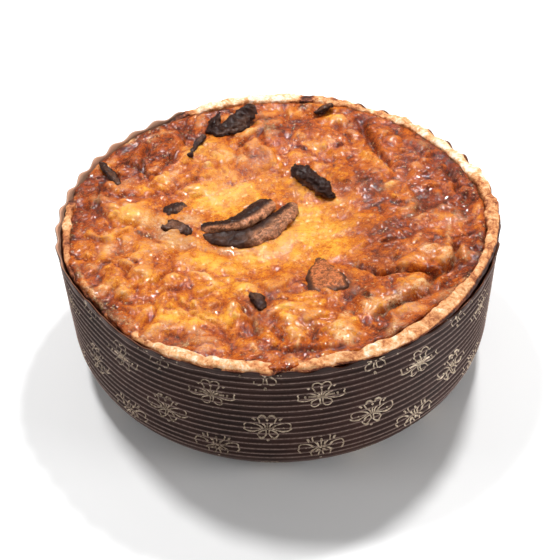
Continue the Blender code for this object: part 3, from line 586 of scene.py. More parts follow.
class Value:
    """One output of a node, which plain arithmetic joins to others."""

    __add__, __sub__, __rsub__ = joins("ADD"), joins("SUBTRACT"), joins("SUBTRACT", True)
    __mul__, __truediv__ = joins("MULTIPLY"), joins("DIVIDE")

    def __init__(self, graph, socket):
        self.graph, self.socket = graph, socket

    def clamped(self):
        """The same value, held between 0 and 1."""
        self.socket.node.use_clamp = True
        return self


class Graph:
    """A node tree and short ways to add nodes to it."""

    def __init__(self, tree):
        self.nodes, self.links = tree.nodes, tree.links

    def feed(self, socket, value):
        if isinstance(value, Value):
            self.links.new(value.socket, socket)
        elif value is not None:
            socket.default_value = value

    def node(self, kind, feeds=None, out=0, **settings):
        """One output of a new node, with its settings made and its inputs fed."""
        made = self.nodes.new(kind)
        for label, value in settings.items():
            setattr(made, label, value)
        for label, value in (feeds or {}).items():
            self.feed(made.inputs[label], value)
        return Value(self, made.outputs[out])

    def math(self, operation, *values):
        return self.node("ShaderNodeMath", dict(enumerate(values)), operation=operation)

    def spread(self, value, low, high, to_low=0.0, to_high=1.0, **settings):
        """The value with low to high turned into to_low to to_high, and held there."""
        limits = {"From Min": low, "From Max": high, "To Min": to_low, "To Max": to_high}
        return self.node("ShaderNodeMapRange", {"Value": value, **limits}, **settings)

    def split(self, vector):
        """The three parts of a vector."""
        first = self.node("ShaderNodeSeparateXYZ", {"Vector": vector})
        return [Value(self, part) for part in first.socket.node.outputs]


def colour(shade):
    """A screen colour, 0 to 255, as Blender's linear value; one with four numbers is linear already."""
    if len(shade) == 4:
        return shade
    return (*(v / 255 / 12.92 if v <= 10.3 else ((v / 255 + 0.055) / 1.055) ** 2.4 for v in shade), 1.0)


class Shader(Graph):
    """A Principled material and short ways to add nodes to it."""

    def __init__(self, name, **settings):
        self.material = bpy.data.materials.new(name)
        self.material.use_nodes = True
        super().__init__(self.material.node_tree)
        self.surface = self.nodes["Principled BSDF"].inputs
        self.place = self.node("ShaderNodeTexCoord", out="Object")
        for label, value in settings.items():
            self.surface[label.replace("_", " ")].default_value = value

    def attribute(self, name):
        return self.node("ShaderNodeAttribute", out="Fac", attribute_name=name)

    def noise(self, size, detail=4.0, roughness=0.6, distortion=0.0, stretch=None):
        """Noise with features of about size millimetres."""
        place = self.place
        if stretch:
            place = self.node("ShaderNodeMapping", {"Vector": place, "Scale": stretch})
        feeds = {"Detail": detail, "Roughness": roughness, "Distortion": distortion}
        return self.node("ShaderNodeTexNoise", {"Vector": place, "Scale": 1.0 / (size * MM), **feeds}, "Fac")

    def ramp(self, value, stops):
        """The colour at the value, between stops that give a colour for each position."""
        ramp = self.node("ShaderNodeValToRGB", {"Fac": value}, "Color")
        elements = ramp.socket.node.color_ramp.elements
        while len(elements) > 1:
            elements.remove(elements[-1])
        for number, (position, shade) in enumerate(stops.items()):
            element = elements.new(position) if number else elements[0]
            element.position, element.color = position, colour(shade)
        return ramp

    def blend(self, share, first, second):
        """The first colour with the second over it."""
        first, second = (v if isinstance(v, Value) else colour(v) for v in (first, second))
        return self.node("ShaderNodeMix", {"Factor": share, 6: first, 7: second}, 2, data_type="RGBA")

    def bump(self, height, strength, distance, under=None):
        feeds = {"Strength": strength, "Distance": distance * MM, "Height": height, "Normal": under}
        return self.node("ShaderNodeBump", feeds)

    def finish(self, base, roughness, normal, wet=None):
        feeds = {"Base Color": base, "Roughness": roughness, "Normal": normal, "Coat Normal": wet}
        for label, value in feeds.items():
            self.feed(self.surface[label], value)
        return self.material


class Tree(Graph):
    """A Geometry Nodes group with named inputs."""

    KINDS = {int: "Int", float: "Float", type(None): "Material"}

    def __init__(self, name, inputs):
        self.group = bpy.data.node_groups.new(name, "GeometryNodeTree")
        super().__init__(self.group)
        face = self.group.interface
        face.new_socket("Geometry", in_out="INPUT", socket_type="NodeSocketGeometry")
        self.sockets = {}
        for label, value in inputs.items():
            socket = face.new_socket(label, in_out="INPUT", socket_type=f"NodeSocket{self.KINDS[type(value)]}")
            self.feed(socket, value)
            self.sockets[label] = socket.identifier
        face.new_socket("Geometry", in_out="OUTPUT", socket_type="NodeSocketGeometry")
        self.entry = {socket.name: Value(self, socket) for socket in self.nodes.new("NodeGroupInput").outputs}

    def attribute(self, name):
        return self.node("GeometryNodeInputNamedAttribute", {"Name": name}, "Attribute", data_type="FLOAT")

    def place(self):
        """The parts of each point's position."""
        return self.split(self.node("GeometryNodeInputPosition"))

    def smooth(self, value, low, high):
        """A smooth step from 0 at low to 1 at high."""
        return self.spread(value, low, high, interpolation_type="SMOOTHSTEP")

    def wave(self, angle, count, phase):
        """A wave round the pie, from the inputs that hold its count and its phase."""
        return self.math("COSINE", self.entry[count] * (angle - self.entry[phase]))

    def polar(self, radius, angle, height=None):
        """The vector at a radius, an angle and a height."""
        feeds = {"X": radius * self.math("COSINE", angle), "Y": radius * self.math("SINE", angle), "Z": height}
        return self.node("ShaderNodeCombineXYZ", feeds)

    def rib_crest(self, run):
        """1 on the crest of a rib and 0 in the groove, for a distance below the rim along the wall."""
        pitch = self.entry["Rib Pitch"]
        turns = (run - self.entry["First Rib"]) / pitch
        apart = self.math("ABSOLUTE", turns - self.math("ROUND", turns)) * pitch
        crest = 1.0 - self.smooth(apart, 0.0, self.entry["Rib Width"])
        return crest, self.smooth(run, 0.0026, 0.0036) * (1.0 - self.smooth(run, 0.0468, 0.0476))

    def finish(self, geometry, material):
        """Closes the tree with real geometry in its material."""
        real = self.node("GeometryNodeRealizeInstances", {"Geometry": geometry})
        dressed = self.node("GeometryNodeSetMaterial", {"Geometry": real, "Material": self.entry[material]})
        self.feed(self.nodes.new("NodeGroupOutput").inputs["Geometry"], dressed)
        return self

    def use_on(self, piece, values):
        """Runs the tree on an object with these input values and leaves a plain mesh."""
        modifier = piece.modifiers.new(self.group.name, "NODES")
        modifier.node_group = self.group
        for label, value in values.items():
            modifier[self.sockets[label]] = value
        ready = piece.evaluated_get(bpy.context.evaluated_depsgraph_get())
        result = bpy.data.meshes.new_from_object(ready)
        piece.modifiers.remove(modifier)
        old, piece.data = piece.data, result
        result.name = piece.name
        bpy.data.meshes.remove(old)


RIB_INPUTS = {"Rib Pitch": 0.00284, "First Rib": 0.0067, "Rib Width": 0.0009, "Rib Depth": 0.0009}


def rib_values(settings):
    """The settings that both trees read, under the names of their inputs."""
    return {label: getattr(settings, label.lower().replace(" ", "_")) for label in RIB_INPUTS}


def ribbed_wall_tree():
    """Presses ribs and rim flutes into a smooth cup that carries its run below the rim."""
    tree = Tree("Ribbed Paper Wall", {
        **RIB_INPUTS, "Flute Count": 45.0, "Flute Phase": 0.0, "Flute Depth": 0.0006, "Paper": None,
    })
    get = tree.entry
    outside = tree.attribute("outside")
    crest, ribbed = tree.rib_crest(tree.attribute("run"))
    x, y, _ = tree.place()
    angle = tree.math("ARCTAN2", y, x)
    wave = tree.wave(angle, "Flute Count", "Flute Phase") * get["Flute Depth"] * tree.attribute("fluted")
    sunk = (1.0 - crest) * (ribbed * outside)
    moved = tree.node("GeometryNodeSetPosition", {
        "Geometry": get["Geometry"], "Offset": tree.polar(wave - sunk * get["Rib Depth"], angle),
    })
    marked = tree.node("GeometryNodeStoreNamedAttribute", {
        "Geometry": moved, "Name": "crest", "Value": crest * ribbed * outside,
    }, data_type="FLOAT", domain="POINT")
    return tree.finish(marked, "Paper")


def blossom_print_tree():
    """Lays a flat motif in staggered columns on the unrolled wall and wraps it round the ribbed mould."""
    tree = Tree("Blossom Print", {
        **RIB_INPUTS, "Columns": 28, "First Column": 0.0, "Rows": 3, "Row Spacing": 0.026, "First Row": 0.0151,
        "Stagger": 0.45, "Rim Radius": PAPER_EDGE * MM, "Foot Radius": WALL_FOOT_RADIUS * MM,
        "Rim Height": MOULD_HEIGHT * MM, "Corner Height": CORNER_HEIGHT * MM, "Corner Reach": CORNER_REACH * MM,
        "Lowest Ink": 0.0006, "Ink Rise": 0.00008, "Scallops": 45.0, "Scallop Depth": 0.0026,
        "Scallop Phase": 0.0, "Bare Edge": 0.0004, "Ink": None,
    })
    get = tree.entry
    columns, spacing, rim, top = get["Columns"], get["Row Spacing"], get["Rim Radius"], get["Rim Height"]
    foot, bend = get["Foot Radius"], get["Corner Height"]
    points = tree.node("GeometryNodeMeshLine", {"Count": columns * get["Rows"]})
    index = tree.node("GeometryNodeInputIndex")
    row = tree.math("FLOOR", (index + 0.5) / columns)
    column = index - row * columns
    lifted = tree.math("MODULO", column, 2.0) * get["Stagger"] * spacing
    step = rim * (2 * math.pi) / columns
    spot = {"X": column * step, "Y": (get["First Row"] + row * spacing - lifted) * -1.0}
    laid = tree.node("GeometryNodeSetPosition", {
        "Geometry": points, "Position": tree.node("ShaderNodeCombineXYZ", spot),
    })
    copies = tree.node("GeometryNodeInstanceOnPoints", {"Points": laid, "Instance": get["Geometry"]})
    real = tree.node("GeometryNodeRealizeInstances", {"Geometry": copies})
    x, y, z = tree.place()
    down = y * -1.0
    crest, ribbed = tree.rib_crest(down)
    height = tree.math("MAXIMUM", top - down, get["Lowest Ink"])
    upper = rim - (top - height) * ((rim - foot) / (top - bend))
    sine = tree.math("MAXIMUM", 1.0 - height / bend, 0.0)
    cosine = tree.math("SQRT", tree.math("MAXIMUM", 1.0 - sine * sine, 0.0))
    radius = tree.math("MAXIMUM", upper, foot) - (1.0 - cosine) * get["Corner Reach"]
    radius = radius - (1.0 - crest) * ribbed * get["Rib Depth"] + (z + get["Ink Rise"])
    wrapped = tree.polar(radius, x / rim + get["First Column"], height)
    bent = tree.node("GeometryNodeSetPosition", {"Geometry": real, "Position": wrapped})
    x, y, z = tree.place()
    wave = tree.wave(tree.math("ARCTAN2", y, x), "Scallops", "Scallop Phase")
    edge = top - (1.0 - wave) * (get["Scallop Depth"] * 0.5) - get["Bare Edge"]
    over = tree.math("GREATER_THAN", z, edge)
    kept = tree.node("GeometryNodeDeleteGeometry", {"Geometry": bent, "Selection": over}, domain="FACE")
    return tree.finish(kept, "Ink")


# Materials


def custard_look(settings):
    """Moist baked custard: yellow where pale, orange to dark brown where toasted and where shade is painted in its
    creases, with pale cream, painted highlights and painted glints over it.
    """
    look = Shader("custard", IOR=1.4, Specular_IOR_Level=0.08, Coat_Weight=0.7, Coat_Roughness=0.07, Coat_IOR=1.4,
                  Subsurface_Weight=0.06, Subsurface_Scale=0.0015, Subsurface_Radius=(1.0, 0.4, 0.12))
    broad = look.noise(6.0, 5.0, 0.6, 0.4)
    patchy = look.noise(2.8, 5.0, 0.65, 1.2)
    fine = look.noise(1.3, 6.0, 0.75, 0.9)
    speck = look.noise(0.5, 3.0, 0.7)
    # Browning together with the painted shade of the creases, roughened by noise
    toast_and_shade = look.attribute("toast_and_shade") + look.spread(broad, 0.3, 0.7, -0.08, 0.08)
    toast_and_shade = toast_and_shade + look.spread(patchy, 0.38, 0.62, -0.12, 0.1) + look.spread(fine, 0.38, 0.62, -0.14, 0.13)
    toast_and_shade = toast_and_shade + look.spread(speck, 0.36, 0.64, -0.1, 0.1)
    base = look.ramp(toast_and_shade.clamped(), {
        0.0: settings.pale, 0.20: settings.golden, 0.40: settings.orange, 0.56: settings.tan,
        0.72: settings.brown, 0.88: (86, 30, 8), 1.0: (52, 24, 13),
    })
    # Pale beads of fat, partly painted glints: small pale specks as where light glints off the wet top
    beads_and_glints = look.noise(0.9, 2.0, 0.6, 0.5)
    flecks = look.noise(0.8, 3.0, 0.7, 0.8)
    for share, broken, shade in (
        (look.attribute("stain"), look.spread(fine, 0.35, 0.6, 0.4, 1.2), (142, 94, 64)),
        # Creaminess, partly a painted highlight, over the ramp
        (look.attribute("cream_and_highlight"), look.spread(fine, 0.43, 0.57, 0.05, 1.25), (240, 194, 138)),
        (look.spread(beads_and_glints, 0.60, 0.68, 0.0, 0.55), look.spread(patchy, 0.46, 0.56), (255, 216, 150)),
        (look.spread(flecks, 0.60, 0.68, 0.0, 0.55), look.spread(broad, 0.56, 0.46), (140, 64, 26)),
    ):
        base = look.blend((share * broken).clamped(), base, shade)
    roughness = look.spread(look.noise(2.4, 3.0, 0.6), 0.35, 0.65, 0.35, 0.6)
    normal = look.bump(look.noise(1.6, 5.0, 0.65, 0.5), 0.9, 0.6)
    normal = look.bump(look.noise(0.6, 5.0, 0.75, 0.5), 0.8, 0.25, normal)
    return look.finish(base, roughness, normal, look.bump(look.noise(2.1, 1.6, 0.5, 0.8), 1.0, 0.62))


def pastry_look(settings):
    """Dry shortcrust: pale on top, browned at its edges and down its outer side."""
    look = Shader("pastry", IOR=1.45, Specular_IOR_Level=0.3, Subsurface_Weight=0.05, Subsurface_Scale=0.0015,
                  Subsurface_Radius=(1.0, 0.5, 0.25))
    fine = look.noise(1.1, 5.0, 0.7, 0.5)
    patchy = look.noise(3.0, 4.0, 0.6, 0.8)
    bake = look.attribute("bake") + look.spread(fine, 0.32, 0.68, -0.16, 0.18)
    bake = (bake + look.spread(patchy, 0.36, 0.66, -0.14, 0.20)).clamped()
    base = look.ramp(bake, {
        0.0: settings.pale, 0.25: settings.golden, 0.45: (206, 138, 84), 0.62: (162, 92, 54),
        0.80: settings.brown, 1.0: (52, 28, 20),
    })
    normal = look.bump(look.noise(1.3, 6.0, 0.7), 0.7, 0.5)
    normal = look.bump(look.noise(0.45, 4.0, 0.7), 0.5, 0.2, normal)
    return look.finish(base, look.spread(patchy, 0.3, 0.7, 0.55, 0.8), normal)


def mushroom_look(name, skin, flesh):
    """Roasted mushroom: darker skin, bare flesh with dark fibres, slightly moist."""
    look = Shader(name, IOR=1.4, Specular_IOR_Level=0.1, Coat_Weight=0.3, Coat_Roughness=0.1, Coat_IOR=1.36)
    fibre = look.noise(1.7, 6.0, 0.72, 1.4)
    spots = look.spread(look.noise(0.8, 5.0, 0.8), 0.54, 0.72, 0.0, 0.22)
    bare = (look.attribute("flesh") * look.spread(fibre, 0.36, 0.62, 0.4, 1.3)).clamped()
    skin, flesh = colour(skin), colour(flesh)
    base = look.ramp((bare + spots).clamped(), {
        0.0: skin,
        0.25: tuple(0.75 * a + 0.25 * b for a, b in zip(skin, flesh)),
        0.42: tuple(0.5 * a + 0.42 * b for a, b in zip(skin, flesh)),
        0.72: flesh,
        1.0: tuple(min(1.0, 2.0 * v) for v in flesh),
    })
    roughness = look.spread(look.noise(1.2, 3.0), 0.35, 0.65, 0.36, 0.75)
    normal = look.bump(look.noise(1.0, 6.0, 0.7, 0.6), 0.9, 0.5)
    return look.finish(base, roughness, normal, look.bump(look.noise(1.1, 2.0, 0.6, 0.6), 1.0, 0.35))


def paper_look(settings):
    """Dark brown ribbed paper, painted lighter on the rib crests as a highlight, with a reddish lining painted paler
    at the left back as lit.
    """
    look = Shader("paper", IOR=1.45, Specular_IOR_Level=0.16, Sheen_Weight=0.15, Sheen_Roughness=0.4,
                  Sheen_Tint=colour((226, 180, 160)))
    grain = look.noise(1.0, 5.0, 0.7, stretch=(1.0, 1.0, 3.0))
    cloud = look.noise(14.0, 3.0, 0.6)
    # Painted highlight: the rib crests are painted lighter, as where the light catches them
    crest = look.math("POWER", look.attribute("crest"), 4.0) * look.spread(grain, 0.36, 0.62, 0.35, 1.2)
    base = look.blend(look.spread(cloud, 0.3, 0.7), settings.paper, settings.paper_light)
    base = look.blend(crest.clamped(), base, settings.rib)
    lining = look.blend(look.spread(grain, 0.3, 0.7), (112, 66, 48), (150, 96, 68))
    # Painted light: the lining is painted paler on the left back side, as lit, and stays darker elsewhere, as in
    # shade
    lining = look.blend(look.attribute("floury"), lining, (212, 166, 138))
    base = look.blend(look.attribute("lining"), base, lining)
    normal = look.bump(look.noise(0.5, 4.0, 0.7), 0.25, 0.15)
    return look.finish(base, look.spread(grain, 0.3, 0.7, 0.42, 0.6), normal)


def ink_look(settings):
    """Pale gold ink, patchy where the press missed the paper, and painted darker towards the left as shade, where
    the light from the right falls less.
    """
    look = Shader("gold_ink", IOR=1.45, Metallic=0.35)
    # The noise is patchy ink; the part from x is painted shade, darker on the left side, away from the light at the
    # right
    wear_and_shade = look.noise(0.9, 4.0, 0.7) + look.spread(look.split(look.place)[0], -0.03, 0.03, -0.1, 0.02)
    base = look.ramp(wear_and_shade, {0.32: (96, 78, 64), 0.50: settings.ink, 0.72: (238, 224, 200)})
    return look.finish(base, look.spread(wear_and_shade, 0.3, 0.7, 0.35, 0.55), look.bump(wear_and_shade, 0.2, 0.1))


# The paper mould


def scallop_drop(angles, count, depth):
    """How far the cut edge of the paper lies below its peaks, a little worn and bent."""
    worn = noise(85 * np.cos(angles), 85 * np.sin(angles), 0, 16.0, 5)
    flattened = 1 - 0.45 * facing(np.degrees(angles), LIT_LINING_SIDE, 0.5, 0.8)
    wave = 1 - (0.8 + 0.3 * worn) * np.cos(count * (angles - math.radians(SCALLOP_PHASE)))
    return flattened * depth / 2 * wave + 0.2


def paper_mould(settings):
    """The fluted paper cup with its ribs, scalloped edge, rounded corner and flat base."""
    angles = ring_angles(MOULD_SEGMENTS)
    degrees = np.degrees(angles)
    # Share of the lining painted paler as lit, which is painted light, on the left back side
    floury = facing(degrees, LIT_LINING_SIDE, 0.5, 0.85)
    drop = scallop_drop(angles, settings.scallops, settings.scallop_depth / MM)
    rings, marks = [], []

    def add(radius, height, below=0.0, outside=0, fluted=0, lining=0):
        rings.append(on_ring(radius - dent(degrees, height), angles, height))
        marks.append([value + 0 * angles for value in (below * MM, outside, fluted, lining, floury)])

    for radius in PLAIN_RINGS:
        add(radius, 0.0, MOULD_HEIGHT)
    for turn in np.linspace(math.pi / 2, 0.42, 11):
        add(*corner(turn, 0.0, 0.0), MOULD_HEIGHT)
    pitch = settings.rib_pitch / MM
    crests = settings.first_rib / MM + pitch * np.arange(-1, 15)
    below = np.sort((crests[:, None] + pitch * np.array([-0.5, -0.21, -0.09, 0.0, 0.09, 0.21])).ravel())[::-1]
    for depth in below[(below > EDGE_BAND) & (below < LOWEST_RIB)]:
        height = MOULD_HEIGHT - depth
        sine = max(0.0, 1 - height / CORNER_HEIGHT)
        tuck = CORNER_REACH * (1 - math.sqrt(1 - sine * sine))
        share = min(depth / (MOULD_HEIGHT - CORNER_HEIGHT), 1.0)
        radius = PAPER_EDGE - (PAPER_EDGE - WALL_FOOT_RADIUS) * share - tuck
        add(radius, height, depth, 1, 0.25 * ease(-depth, -9.0, -3.0))
    for share in np.linspace(0.15, 1.0, 7):
        height = MOULD_HEIGHT - EDGE_BAND + (EDGE_BAND - drop) * share
        add(PAPER_EDGE, height, MOULD_HEIGHT - height, 1, 0.25 + 0.6 * share)
    for inset, lining in ((PAPER_ROUNDING, 0.2), (PAPER_WALL - PAPER_ROUNDING, 0.8)):
        add(PAPER_EDGE - inset, MOULD_HEIGHT - drop + 0.1, 0.0, 0, 0.85, lining)
    for share in np.linspace(1.0, 0.0, 6):
        height = MOULD_HEIGHT - LINING_BAND + (LINING_BAND - drop) * share
        add(PAPER_EDGE - PAPER_WALL - (1 - share) * 0.9, height, 0.0, 0, 0.85 * share, 1.0)
    add(RIM_RADIUS - WALL_THICKNESS - 0.6, 36.0, lining=1.0)
    for turn in (0.0, 0.5, 1.0, math.pi / 2):
        add(*corner(turn, WALL_THICKNESS, BASE_THICKNESS), lining=1.0)
    labels = ("run", "outside", "fluted", "lining", "floury")
    values = {
        label: np.append(numbers.ravel(), (0.0, float(label == "lining")))
        for label, numbers in zip(labels, np.array(marks).transpose(1, 0, 2))
    }
    look = paper_look(settings)
    piece = add_piece("mould_paper", *loft(rings), values, look)
    ribbed_wall_tree().use_on(piece, {
        **rib_values(settings),
        "Flute Count": float(settings.scallops),
        "Flute Phase": math.radians(SCALLOP_PHASE),
        "Flute Depth": settings.flute_depth,
        "Paper": look,
    })
    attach(piece, "root")
    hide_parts("paper_mould")
    return piece


def curve_points(stops, steps):
    """A smooth run of points through the stops."""
    last = len(stops) - 1
    made = []
    for step in range(last * steps + 1):
        at = min(step // steps, last - 1)
        t = step / steps - at
        a, b, c, d = (np.array(stops[min(max(at + k, 0), last)], float) for k in (-1, 0, 1, 2))
        bend = (2 * a - 5 * b + 4 * c - d) * t**2 + (3 * b - a - 3 * c + d) * t**3
        made.append(0.5 * (2 * b + (c - a) * t + bend))
    return np.array(made)


def blossom_motif(line_width, look):
    """The flat motif that the print repeats, as narrow ribbons and small discs."""
    points, faces = [], []
    sides = [(line, 1.0) for line in BLOSSOM_SIDES] + [(BLOSSOM_DROP, 1.5)]
    lines = [(pairs(line), thick) for line, thick in sides] + [(pairs(line), 1.0) for line in BLOSSOM_MIDDLE]
    lines += [([(-x, y) for x, y in pairs(line)], thick) for line, thick in sides]
    for line, thick in lines:
        path = curve_points(line, LINE_STEPS)
        width = line_width * thick
        ahead = np.gradient(path, axis=0)
        ahead /= np.linalg.norm(ahead, axis=1)[:, None] + 1e-9
        across = np.column_stack([-ahead[:, 1], ahead[:, 0]]) * width / 2
        start = len(points)
        for spot, offset in zip(path, across):
            points += [(*(spot + offset), 0.0), (*(spot - offset), 0.0)]
        faces += [[k, k + 1, k + 3, k + 2] for k in range(start, start + 2 * len(path) - 2, 2)]
    for x, y, radius in BLOSSOM_DOTS:
        start = len(points)
        points.append((x, y, 0.0))
        turns = ring_angles(DOT_POINTS)
        points += [(x + radius * math.cos(turn), y + radius * math.sin(turn), 0.0) for turn in turns]
        faces += [[start, start + 1 + k, start + 1 + (k + 1) % DOT_POINTS] for k in range(DOT_POINTS)]
    mesh = bpy.data.meshes.new("mould_blossoms")
    mesh.from_pydata(np.array(points) * MM, [], faces)
    mesh.materials.append(look)
    return put("mould_blossoms", mesh)


def printed_blossoms(settings):
    """The pale gold blossoms printed round the mould."""
    look = ink_look(settings)
    piece = blossom_motif(settings.line_width / MM, look)
    blossom_print_tree().use_on(piece, {
        **rib_values(settings),
        "Columns": settings.blossom_columns,
        "First Column": math.radians(settings.blossom_start),
        "Row Spacing": settings.blossom_spacing,
        "Scallops": float(settings.scallops),
        "Scallop Depth": settings.scallop_depth,
        "Scallop Phase": math.radians(SCALLOP_PHASE),
        "Ink": look,
    })
    press_in(piece.data)
    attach(piece, "root")
    return piece


def press_in(mesh):
    """Moves points in where the paper wall is dented."""
    places = vertex_places(mesh)
    x, y, z = places.T
    depth = dent(np.degrees(np.arctan2(y, x)), z / MM) * MM
    places[:, :2] *= (1 - depth / np.maximum(np.hypot(x, y), 1e-6))[:, None]
    mesh.vertices.foreach_set("co", places.ravel())
    mesh.update()


# The pastry


def pastry_crust(settings):
    """The shortcrust shell with its uneven, browned rim."""
    angles = ring_angles(PASTRY_SEGMENTS)
    degrees = np.degrees(angles)
    uneven = settings.unevenness
    round_rim = 80 * np.cos(angles), 80 * np.sin(angles), 0
    rise, reach = (round_table(PASTRY_RIM, degrees, column) for column in (1, 2))
    lap, lap_rise = (round_table(LAPS, degrees, column) for column in (1, 2))
    covered = round_table(SPILL, degrees, 1)
    rise += uneven * (0.40 * rough(*round_rim, 7.0, 3) + 0.2 * noise(*round_rim, 2.2, 8)) + lap_rise
    rise -= 0.9 * facing(degrees, LOW_SIDE, 0.93, 0.98) + ease(covered, 1.0, 2.6) * (1 - ease(lap, 0.4, 1.2))
    lined = RIM_RADIUS - WALL_THICKNESS - PASTRY_CLEARANCE - dent(degrees, MOULD_HEIGHT)
    lobes = np.cos(45 * (angles - math.radians(SCALLOP_PHASE)))
    outer = lined + reach + lap + uneven * 0.4 * noise(*round_rim, 5.0, 21)
    outer = np.minimum(outer + 0.6 * lobes * facing(degrees, SCALLOPED_SIDE, 0.75, 0.85), RIM_LIMIT)
    inner = inner_radius(degrees) + uneven * (0.6 * rough(*round_rim, 7.0, 31, 2) + 0.3 * noise(*round_rim, 1.8, 35))
    crest = MOULD_HEIGHT + rise
    shoulder = np.minimum(MOULD_HEIGHT - 0.6, crest - RIM_SHOULDER)
    base = BASE_THICKNESS + PASTRY_CLEARANCE
    rings, bake = [], []

    def add(radius, height, brown):
        rings.append(on_ring(radius, angles, height))
        bake.append(brown + 0 * angles)

    for turn in (math.pi / 2, 1.0, 0.5, 0.0):
        add(*corner(turn, WALL_THICKNESS + PASTRY_CLEARANCE, base), 0.7)
    add(lined - 0.6, 40.0, 0.7)
    add(lined - 0.3, 52.0, 0.75)
    for share in np.linspace(0.0, 1.0, 7):
        add(lined - 0.3, WALL_STARTS + (shoulder - WALL_STARTS) * share, 0.78)
    first = len(rings)
    middle, half = (outer + inner) / 2, (outer - inner) / 2
    flatter = facing(degrees, LOW_SIDE, 0.90, 0.97)
    for turn in np.linspace(0.0, math.pi, CREST_RINGS):
        c, s = math.cos(turn), math.sin(turn)
        across = math.copysign(abs(c) ** 0.75, c)
        low = np.where(c > 0, shoulder, crest - RIM_SHOULDER)
        level = low + (crest - low) * s**0.62
        add(middle + half * across, level - 0.5 * flatter * (1 + across) * s, 0.0)
    last = len(rings)
    for height in (57.0, 54.0, 50.0, 36.0, 17.0):
        level = np.minimum(height, crest - 2.3)
        add(inner - LEAN * np.clip((crest - 1.4 - level) / (crest - 37.4), 0, 1), level, 0.3)
    add(inner - LEAN - 4.6, base + PASTRY_BASE + 2.8, 0.3)
    add(inner - LEAN - 13.0, base + PASTRY_BASE, 0.3)
    rings, bake = np.array(rings), np.array(bake)
    crumble(rings[first - 4:last + 2], flatter, uneven)
    bake[first:last] = rim_browning(rings[first:last], degrees, lobes)
    values = {"bake": np.append(bake.ravel(), [0.6, 0.3])}
    piece = add_piece("pastry_crust", *loft(rings), values, pastry_look(settings))
    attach(piece, "root")
    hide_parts("pastry_shell")
    return piece


def crumble(zone, flatter, uneven):
    """Roughens the rings of the rim in place, less where it is flatter, and keeps them inside the mould's edge."""
    x, y, z = (zone[..., k].copy() for k in range(3))
    crumbly = 0.6 * rough(x, y, z, 4.5, 41) + 0.35 * noise(x, y, z, 1.6, 47) + 0.2 * noise(x, y, z, 0.9, 49)
    share = np.linspace(0, 1, len(zone))[:, None]
    fade = ease(share, 0.0, 0.15) * (1 - ease(share, 0.9, 1.0))
    moved = crumbly * (1 - 0.5 * flatter) * fade * uneven
    radius = np.hypot(x, y)
    zone[..., 0] += x / radius * 0.55 * moved
    zone[..., 1] += y / radius * 0.55 * moved
    zone[..., 2] += 0.6 * moved
    zone[..., :2] *= np.minimum(1.0, CRUMB_LIMIT / np.hypot(zone[..., 0], zone[..., 1]))[..., None]


def rim_browning(rings, degrees, lobes):
    """How browned the rim is, ring by ring from its outer side to its inner side."""
    span = np.linspace(0, 1, CREST_RINGS)[:, None]
    right_front = facing(degrees, BROWNED_SIDE, 0.88, 0.96)
    right_back = facing(degrees, SCALLOPED_SIDE, 0.72, 0.85)
    outside = 1 - ease(span, 0.02 + 0.12 * right_front, 0.16 + 0.16 * right_front)
    brown = round_table(RIM_BAKE, degrees, 1) + 0.16 * rough(rings[..., 0], rings[..., 1], 0, 4.0, 51)
    brown += (0.35 + 0.2 * right_front) * outside + 0.14 * ease(span, 0.72, 0.95)
    return brown + 0.5 * ease(lobes, 0.0, 0.9) * right_back * (1 - ease(span, 0.10, 0.34))


# The custard


def disc_grid(steps):
    """Share of the radius and angle for the points of an even square grid laid on a disc."""
    line = np.linspace(-1, 1, steps + 1)
    s, t = np.meshgrid(line, line, indexing="ij")
    wide = np.abs(s) >= np.abs(t)
    with np.errstate(divide="ignore", invalid="ignore"):
        turn = np.where(wide, np.pi / 4 * t / s, np.pi / 2 - np.pi / 4 * s / t)
    turn = np.where(wide & (s < 0) | ~wide & (t < 0), turn + np.pi, turn)
    return np.maximum(np.abs(s), np.abs(t)), np.nan_to_num(turn)


